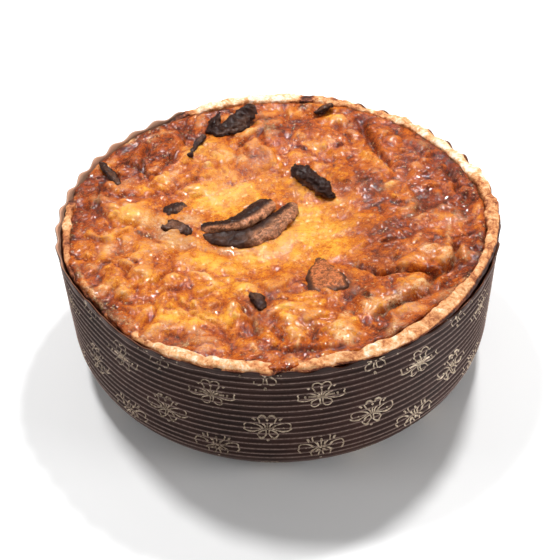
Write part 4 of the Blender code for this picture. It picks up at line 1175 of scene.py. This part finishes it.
def custard_surface(x, y, settings):
    """Height, browning with painted shade in its creases, creaminess with painted highlights, and mushroom stain of
    the custard's top.
    """
    height = custard_height(x, y)
    radius = np.hypot(x, y)
    toast_and_shade = LEAST_TOAST + 0.155 * ease(radius, 24, 58) + 0.04 * ease(radius, 66, 76)
    cream_and_highlight, stain = np.zeros_like(x), np.zeros_like(x)
    warp_x, warp_y = x + 1.6 * rough(x, y, 0, 6.0, 61), y + 1.6 * rough(x, y, 0, 6.0, 67)
    for cx, cy, length, width, turn, rise, brown, *more in PATCHES:
        # pale is the creaminess, partly a painted highlight; grey is the mushroom stain
        pale, grey = (*more, 0, 0)[:2]
        share = patch_share(warp_x, warp_y, cx, cy, length * 1.15, width * 1.15, turn)
        height += rise * share
        toast_and_shade += brown * share
        cream_and_highlight = np.maximum(cream_and_highlight, pale * share)
        stain = np.maximum(stain, 1.2 * grey * share)
    near_x, near_y = x + 0.5 * rough(x, y, 0, 3.0, 71), y + 0.5 * rough(x, y, 0, 3.0, 73)
    for rise, width, brown, pale, *run in STROKES:
        distance, _, share = along_path(near_x, near_y, pairs(run))
        fade = ease(share, -0.02, 0.2) * (1 - ease(share, 0.8, 1.02))
        line = np.exp(-((distance / width) ** 2)) * (0.35 + 0.65 * fade)
        height += rise * line
        if rise < 0:
            height -= 0.45 * rise * np.exp(-(((distance - 2.2 * width) / (1.3 * width)) ** 2)) * fade
        # Along the creases this darkening is painted shade as well as browning
        toast_and_shade += (0.8 if rise > 0 else 0.55) * brown * line
        cream_and_highlight = np.maximum(cream_and_highlight, pale * line)
    ring = ease(radius, 22, 50)
    bent = x + 2.4 * rough(x, y, 0, 9.0, 101, 2), y + 2.4 * rough(x, y, 0, 9.0, 103, 2), 0
    puffed = 2.2 * np.abs(noise(*bent, 9.0, 81)) - 0.7
    blisters = 2.2 * np.abs(noise(*bent, 3.8, 83)) - 0.7
    skin = rough(x, y, 0, 1.9, 87, 2)
    height += settings.relief * ((0.40 + 0.50 * ring) * puffed + (0.24 + 0.34 * ring) * blisters + 0.22 * skin)
    toast_and_shade += (0.07 + 0.05 * ring) * rough(x, y, 0, 14.0, 91) + 0.07 * rough(x, y, 0, 4.0, 95)
    # Painted shade: the tops of the puffs and blisters are painted lighter and the creases between them darker, as
    # where shade falls in them
    toast_and_shade -= (0.06 + 0.05 * ring) * puffed + (0.04 + 0.04 * ring) * blisters
    toast_and_shade += (0.06 + 0.1 * ring) * (1 - ease(puffed, -0.7, -0.52))
    toast_and_shade += (0.03 + 0.05 * ring) * (1 - ease(blisters, -0.7, -0.45))
    # Painted light: the ring is painted lighter towards the left front and darker towards the right back, as more
    # light falls on the left front
    toast_and_shade += 0.02 * ring * (np.cos(np.arctan2(y, x) - math.radians(20)) - 1)
    # Painted highlight: the tops of the puffs and blisters are painted creamier, as where light glints off the wet
    # top
    cream_and_highlight += 0.25 * ease(puffed + 0.6 * blisters, 0.55, 1.1) * ring
    return height, np.minimum(toast_and_shade, MOST_TOAST), cream_and_highlight, stain


def custard_filling(settings):
    """The filling with its puffed, folded and browned top, with painted shade in its creases and painted highlights
    on its puffs.
    """
    share, turn = disc_grid(CUSTARD_STEPS)
    degrees = np.degrees(turn)
    spill = round_table(SPILL, degrees, 1)
    round_edge = 78 * np.cos(turn), 78 * np.sin(turn), 0
    ragged = 0.45 * rough(*round_edge, 6.0, 11) + 0.35 * rough(*round_edge, 2.4, 13, 2)
    side = inner_radius(degrees) + spill + ragged
    x, y = side * share * np.cos(turn), side * share * np.sin(turn)
    height, toast_and_shade, cream_and_highlight, stain = custard_surface(x, y, settings)
    inside = (1 - share) * side
    target = MOULD_HEIGHT + round_table(PASTRY_RIM, degrees, 1) - 0.9 * (1 - ease(spill, 0.6, 2.0))
    target += 0.8 * np.exp(-((turn_between(degrees, 148) / 24) ** 4))
    target += (MOULD_HEIGHT + 0.75 - target) * ease(spill, 3.2, 4.2)
    height += (target - height) * (1 - ease(inside, 0.0, 5.0 + 1.2 * spill)) * 0.85
    height -= 1.2 * (1 - np.sqrt(1 - np.clip(1 - inside / 1.6, 0, 1) ** 2))
    toast_and_shade += 0.10 * (1 - ease(inside, 0.0, 3.5))
    glazed = sum(np.exp(-((turn_between(degrees, middle) / half) ** 2)) for middle, half in ((215, 16), (140, 26)))
    toast_and_shade += 0.15 * glazed * (1 - ease(inside, 2.0, 6.0))
    top = np.column_stack([x.ravel(), y.ravel(), height.ravel()])
    index = np.arange(len(top)).reshape(x.shape)
    corners = index[:-1, :-1], index[1:, :-1], index[1:, 1:], index[:-1, 1:]
    faces = np.column_stack([corner_index.ravel() for corner_index in corners]).tolist()
    edge = np.concatenate([index[:-1, 0], index[-1, :-1], index[:0:-1, -1], index[0, :0:-1]])
    rim = top[edge]
    reach = np.hypot(rim[:, 0], rim[:, 1])
    wall = inner_radius(np.degrees(np.arctan2(rim[:, 1], rim[:, 0]))) - 0.3
    sides = [(np.maximum(reach - 0.8, wall), rim[:, 2] - 1.2)]
    for inset, level in ((0.6, 52.0), (1.8, 36.0), (2.8, 15.5), (6.8, 8.7), (15.2, CUSTARD_FOOT)):
        sides.append((wall - inset, level + 0 * wall))
    points, previous, total = [top], edge, len(top)
    for radius, level in sides:
        points.append(np.column_stack([rim[:, :2] / reach[:, None] * radius[:, None], level]))
        ring = np.arange(total, total + len(rim))
        total += len(rim)
        faces += np.column_stack([previous, ring, np.roll(ring, -1), np.roll(previous, -1)]).tolist()
        previous = ring
    points = np.vstack([*points, (0.0, 0.0, CUSTARD_FOOT)])
    faces += [[int(a), total, int(b)] for a, b in zip(previous, np.roll(previous, -1))]
    hidden = len(points) - len(top)
    values = {
        "toast_and_shade": np.concatenate([toast_and_shade.ravel(), toast_and_shade.ravel()[edge], np.full(hidden - len(edge), 0.3)]),
        "cream_and_highlight": np.append(cream_and_highlight.ravel(), np.zeros(hidden)),
        "stain": np.append(stain.ravel(), np.zeros(hidden)),
    }
    piece = add_piece("custard_top", points, faces, values, custard_look(settings))
    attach(piece, "root")
    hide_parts("custard_filling")
    return piece


# The mushrooms


def mushroom_lobe(stations, flesh, seed, raised, crumpled):
    """Rings and flesh share of one lobe, lofted along its stations and roughened."""
    path = curve_points(stations, STATION_STEPS)
    ground = custard_height(path[:, 0], path[:, 1])
    centres = np.column_stack([path[:, 0], path[:, 1], ground + path[:, 2] + raised])
    ahead = np.gradient(centres, axis=0)
    ahead /= np.linalg.norm(ahead, axis=1)[:, None]
    side = np.cross(ahead, (0.0, 0.0, 1.0))
    side /= np.linalg.norm(side, axis=1)[:, None]
    up = np.cross(side, ahead)
    angles = ring_angles(SECTION_POINTS)
    flat_cos, flat_sin = (np.sign(v) * np.abs(v) ** 0.85 for v in (np.cos(angles), np.sin(angles)))
    middle, half, start, end, strength = flesh
    turn = np.abs(turn_between(np.degrees(angles), middle))
    rings, bare = [], []
    last = len(path) - 1
    for step, (centre, station) in enumerate(zip(centres, path)):
        width, thick, tilt = station[3:]
        blunt = min(1.0, 0.3 + 0.7 * math.sqrt(min(step, last - step) / 4.5))
        c, s = math.cos(math.radians(tilt)), math.sin(math.radians(tilt))
        across, over = side[step] * c + up[step] * s, up[step] * c - side[step] * s
        rings.append(centre + np.outer(width * blunt * flat_cos, across) + np.outer(thick * blunt * flat_sin, over))
        share = step / last
        along = ease(share, start - 0.08, start + 0.08) * (1 - ease(share, end - 0.08, end + 0.08))
        bare.append((1 - ease(turn, half * 0.7, half * 1.15)) * np.maximum(strength * along, 0.08))
    rings, bare = np.array(rings), np.array(bare)
    outward = rings - rings.mean(axis=1, keepdims=True)
    outward /= np.linalg.norm(outward, axis=2, keepdims=True) + 1e-9
    x, y, z = (rings[..., k] for k in range(3))
    wrinkled = 0.55 * rough(x, y, z, 3.2, seed) - 0.7 * np.abs(noise(x, y, z, 2.2, seed + 3))
    wrinkled += 0.1 - 0.5 * np.abs(noise(x, y, z, 1.1, seed + 5))
    bare += 0.10 * rough(x, y, z, 1.8, seed + 9) * (bare > 0.05)
    return rings + outward * (crumpled * wrinkled)[..., None], bare


def mushroom_piece(name, seed, settings, look):
    """One roasted piece of mushroom, of one or two lobes."""
    points, faces, bare = [], [], []
    total = 0
    for number, (stations, flesh) in enumerate(zip(MUSHROOMS[name], FLESH[name])):
        lobe_seed = seed + 13 * number
        rings, share = mushroom_lobe(stations, flesh, lobe_seed, RAISED.get(name, 0.0), CRUMPLED.get(name, 1.0))
        lobe_points, lobe_faces = loft(rings)
        points.append(lobe_points)
        faces += [[corner_index + total for corner_index in face] for face in lobe_faces]
        total += len(lobe_points)
        bare.append(np.append(share.ravel(), [share[0].mean(), share[-1].mean()]))
    values = {"flesh": np.concatenate(bare) * settings.flesh_share}
    piece = add_piece(name + "_roasted", np.vstack(points), faces, values, look)
    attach(piece, "root")
    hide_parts(name)
    return piece


# The stage

FLOOR_HALF = 6.0
CAMERA_PLACE = (0.0, -0.3264, 0.3114)
CAMERA_TURNS = (41.87, 0.03, 0.61, -2.0)


def turned(first, second, angle):
    """Two axes after a turn of the first towards the second."""
    c, s = math.cos(angle), math.sin(angle)
    return first * c + second * s, second * c - first * s


def add_camera(lens):
    """The camera, from its tilt down and then its turn, rise and roll."""
    tilt, turn, rise, roll = (math.radians(v) for v in CAMERA_TURNS)
    right = np.array((1.0, 0.0, 0.0))
    ahead = np.array((0.0, math.cos(tilt), -math.sin(tilt)))
    up = np.array((0.0, math.sin(tilt), math.cos(tilt)))
    ahead, right = turned(ahead, right, turn)
    ahead, up = turned(ahead, up, rise)
    right, up = turned(right, up, roll)
    data = bpy.data.cameras.new("camera")
    data.sensor_width = 36.0
    data.lens = lens
    camera = put("camera", data)
    rows = np.column_stack([right, up, -ahead, CAMERA_PLACE]).tolist()
    camera.matrix_world = Matrix((*rows, (0.0, 0.0, 0.0, 1.0)))
    bpy.context.scene.camera = camera


def stage_and_camera(settings):
    """A pale floor, soft studio light and the camera."""
    mesh = bpy.data.meshes.new("floor")
    corners = [(x * FLOOR_HALF, y * FLOOR_HALF, 0) for x, y in ((-1, -1), (1, -1), (1, 1), (-1, 1))]
    mesh.from_pydata(corners, [], [(0, 1, 2, 3)])
    floor = put("floor", mesh)
    look = Shader("pale_floor")
    base = look.ramp(look.noise(400.0, 2.0), {0.3: (250, 250, 250), 0.7: (253, 253, 253)})
    roughness = look.spread(look.noise(50.0), 0.3, 0.7, 0.7, 0.8)
    mesh.materials.append(look.finish(base, roughness, look.bump(look.noise(5.0), 0.02, 0.1)))
    world = bpy.data.worlds.new("studio")
    world.use_nodes = True
    background = world.node_tree.nodes["Background"].inputs
    background["Color"].default_value = (1.0, 1.0, 1.0, 1.0)
    background["Strength"].default_value = settings.fill
    scene = bpy.context.scene
    scene.world = world
    scene.view_settings.view_transform = "Standard"
    scene.view_settings.look = "None"
    for name, place, size, power in (
        ("soft_top", (-0.30, 0.38, 1.03), 0.17, settings.key),
        ("back_glints", (0.26, 0.50, 1.0), 0.14, settings.glint),
        ("soft_right", (0.95, -0.30, 0.30), 0.5, settings.side),
        ("soft_left", (-0.9, -0.1, 0.35), 0.4, settings.side * 0.4),
    ):
        data = bpy.data.lights.new(name, "AREA")
        data.shape = "DISK"
        data.size = size
        data.energy = power
        light = put(name, data)
        light.location = place
        aim = Vector((0.0, 0.0, 0.05)) - light.location
        light.rotation_euler = aim.to_track_quat("-Z", "Y").to_euler()
    add_camera(settings.lens)
    return floor


# Settings, operators and panel


def shade(name, description, value):
    """A colour property in screen values, 0 to 255."""
    return bpy.props.FloatVectorProperty(name=name, description=description, default=value, min=0, max=255, size=3)


def length(name, description, value):
    return bpy.props.FloatProperty(name=name, description=description, default=value, min=0, unit="LENGTH",
                                   subtype="DISTANCE", precision=5)


def amount(name, description, value, highest=10.0):
    return bpy.props.FloatProperty(name=name, description=description, default=value, min=0, max=highest)


def number(name, description, value):
    return bpy.props.IntProperty(name=name, description=description, default=value, min=2)


class MouldSettings(bpy.types.PropertyGroup):
    """Sizes and colours of the paper mould."""

    rib_pitch: length("Rib Pitch", "Distance from one pressed rib to the next", 0.00284)
    first_rib: length("First Rib", "Distance of the first rib below the rim", 0.0067)
    rib_width: length("Rib Width", "Half width of a rib's crest", 0.00075)
    rib_depth: length("Rib Depth", "Depth of the grooves between the ribs", 0.0008)
    scallops: number("Scallops", "Scallops round the cut edge", 45)
    scallop_depth: length("Scallop Depth", "Depth of the scallops in the cut edge", 0.0026)
    flute_depth: length("Flute Depth", "How far the edge waves in and out", 0.0005)
    blossom_columns: number("Columns", "Columns of printed blossoms", 28)
    blossom_start: amount("First Column", "Angle of the first column in degrees", 278.8, 360.0)
    blossom_spacing: length("Row Spacing", "Distance between the blossoms of one column", 0.027)
    line_width: length("Line Width", "Width of the printed lines", 0.00048)
    paper: shade("Paper", "Colour of the paper", (37, 23, 20))
    paper_light: shade("Light Paper", "Colour of its lighter clouds", (60, 38, 33))
    # The rib colour is a painted highlight on the rib crests
    rib: shade("Rib", "Colour of the worn ribs", (172, 146, 136))
    ink: shade("Ink", "Colour of the printed blossoms", (194, 172, 148))


class PastrySettings(bpy.types.PropertyGroup):
    """Unevenness and colours of the shortcrust."""

    unevenness: amount("Unevenness", "How uneven the rim is", 1.0)
    pale: shade("Pale", "Colour of the palest crust", (250, 230, 208))
    golden: shade("Golden", "Colour of the golden crust", (232, 180, 130))
    brown: shade("Brown", "Colour of the browned crust", (104, 50, 30))


class CustardSettings(bpy.types.PropertyGroup):
    """Relief and colours of the baked custard."""

    relief: amount("Relief", "Strength of the puffs and blisters", 1.0)
    pale: shade("Pale", "Colour of the palest custard", (234, 176, 68))
    golden: shade("Golden", "Colour of the golden custard", (222, 142, 38))
    orange: shade("Orange", "Colour of the lightly toasted custard", (196, 104, 24))
    tan: shade("Tan", "Colour of the toasted custard", (172, 76, 16))
    brown: shade("Brown", "Colour of the browned custard", (128, 50, 11))


class MushroomSettings(bpy.types.PropertyGroup):
    """Colours of the roasted mushrooms."""

    flesh_share: amount("Flesh", "How much bare flesh shows", 1.0, 1.0)
    skin: shade("Skin", "Colour of the roasted skin", (42, 21, 15))
    flesh: shade("Flesh Colour", "Colour of the bare flesh", (156, 104, 74))
    soaked: shade("Soaked", "Colour of the slice that the custard has soaked", (148, 84, 48))
    soaked_skin: shade("Soaked Skin", "Colour of that slice's skin", (66, 40, 29))


class StageSettings(bpy.types.PropertyGroup):
    """Light and lens."""

    fill: amount("Fill", "Strength of the light from all round", 0.21)
    key: amount("Key", "Power of the soft light above, in watts", 8.1, 500.0)
    side: amount("Side", "Power of the soft light from the right, in watts", 5.0, 500.0)
    glint: amount("Glints", "Power of the small light behind, in watts", 9.5, 500.0)
    lens: amount("Lens", "Focal length of the camera, in mm", 68.81, 500.0)


class QUICHE_OT_mould(bpy.types.Operator):
    """Build the ribbed paper mould"""

    bl_idname = "quiche.mould"
    bl_label = "Paper Mould"

    def execute(self, context):
        paper_mould(context.scene.quiche_mould)
        return {"FINISHED"}


class QUICHE_OT_blossoms(bpy.types.Operator):
    """Print the blossoms on the mould"""

    bl_idname = "quiche.blossoms"
    bl_label = "Printed Blossoms"

    def execute(self, context):
        printed_blossoms(context.scene.quiche_mould)
        return {"FINISHED"}


class QUICHE_OT_pastry(bpy.types.Operator):
    """Build the shortcrust shell"""

    bl_idname = "quiche.pastry"
    bl_label = "Pastry Crust"

    def execute(self, context):
        pastry_crust(context.scene.quiche_pastry)
        return {"FINISHED"}


class QUICHE_OT_custard(bpy.types.Operator):
    """Build the browned custard"""

    bl_idname = "quiche.custard"
    bl_label = "Custard Filling"

    def execute(self, context):
        custard_filling(context.scene.quiche_custard)
        return {"FINISHED"}


class QUICHE_OT_mushrooms(bpy.types.Operator):
    """Build the roasted mushroom pieces"""

    bl_idname = "quiche.mushrooms"
    bl_label = "Roasted Mushrooms"

    def execute(self, context):
        settings = context.scene.quiche_mushroom
        roasted = mushroom_look("mushroom", settings.skin, settings.flesh)
        soaked = mushroom_look("soaked_mushroom", settings.soaked_skin, settings.soaked)
        for number, name in enumerate(MUSHROOMS):
            mushroom_piece(name, 101 + 29 * number, settings, soaked if name in SOAKED else roasted)
        return {"FINISHED"}


class QUICHE_OT_stage(bpy.types.Operator):
    """Set the floor, the lights and the camera"""

    bl_idname = "quiche.stage"
    bl_label = "Stage and Camera"

    def execute(self, context):
        stage_and_camera(context.scene.quiche_stage)
        return {"FINISHED"}


SETTINGS = {
    "quiche_mould": MouldSettings,
    "quiche_pastry": PastrySettings,
    "quiche_custard": CustardSettings,
    "quiche_mushroom": MushroomSettings,
    "quiche_stage": StageSettings,
}
OPERATORS = (
    QUICHE_OT_mould,
    QUICHE_OT_blossoms,
    QUICHE_OT_pastry,
    QUICHE_OT_custard,
    QUICHE_OT_mushrooms,
    QUICHE_OT_stage,
)


class QUICHE_PT_panel(bpy.types.Panel):
    """Lists the settings and the pieces in order"""

    bl_idname = "QUICHE_PT_panel"
    bl_label = "Mushroom Quiche"
    bl_space_type = "VIEW_3D"
    bl_region_type = "UI"
    bl_category = "Quiche"

    def draw(self, context):
        for label, kind in SETTINGS.items():
            box = self.layout.box()
            for name in kind.__annotations__:
                box.prop(getattr(context.scene, label), name)
        for operator in OPERATORS:
            self.layout.operator(operator.bl_idname)


CLASSES = (*SETTINGS.values(), *OPERATORS, QUICHE_PT_panel)


def register():
    for kind in CLASSES:
        bpy.utils.register_class(kind)
    for label, kind in SETTINGS.items():
        setattr(bpy.types.Scene, label, bpy.props.PointerProperty(type=kind))


def unregister():
    for label in SETTINGS:
        delattr(bpy.types.Scene, label)
    for kind in reversed(CLASSES):
        bpy.utils.unregister_class(kind)


def main():
    register()
    bpy.ops.quiche.mould()
    bpy.ops.quiche.blossoms()
    bpy.ops.quiche.pastry()
    bpy.ops.quiche.custard()
    bpy.ops.quiche.mushrooms()
    bpy.ops.quiche.stage()


if __name__ == "__main__":
    main()
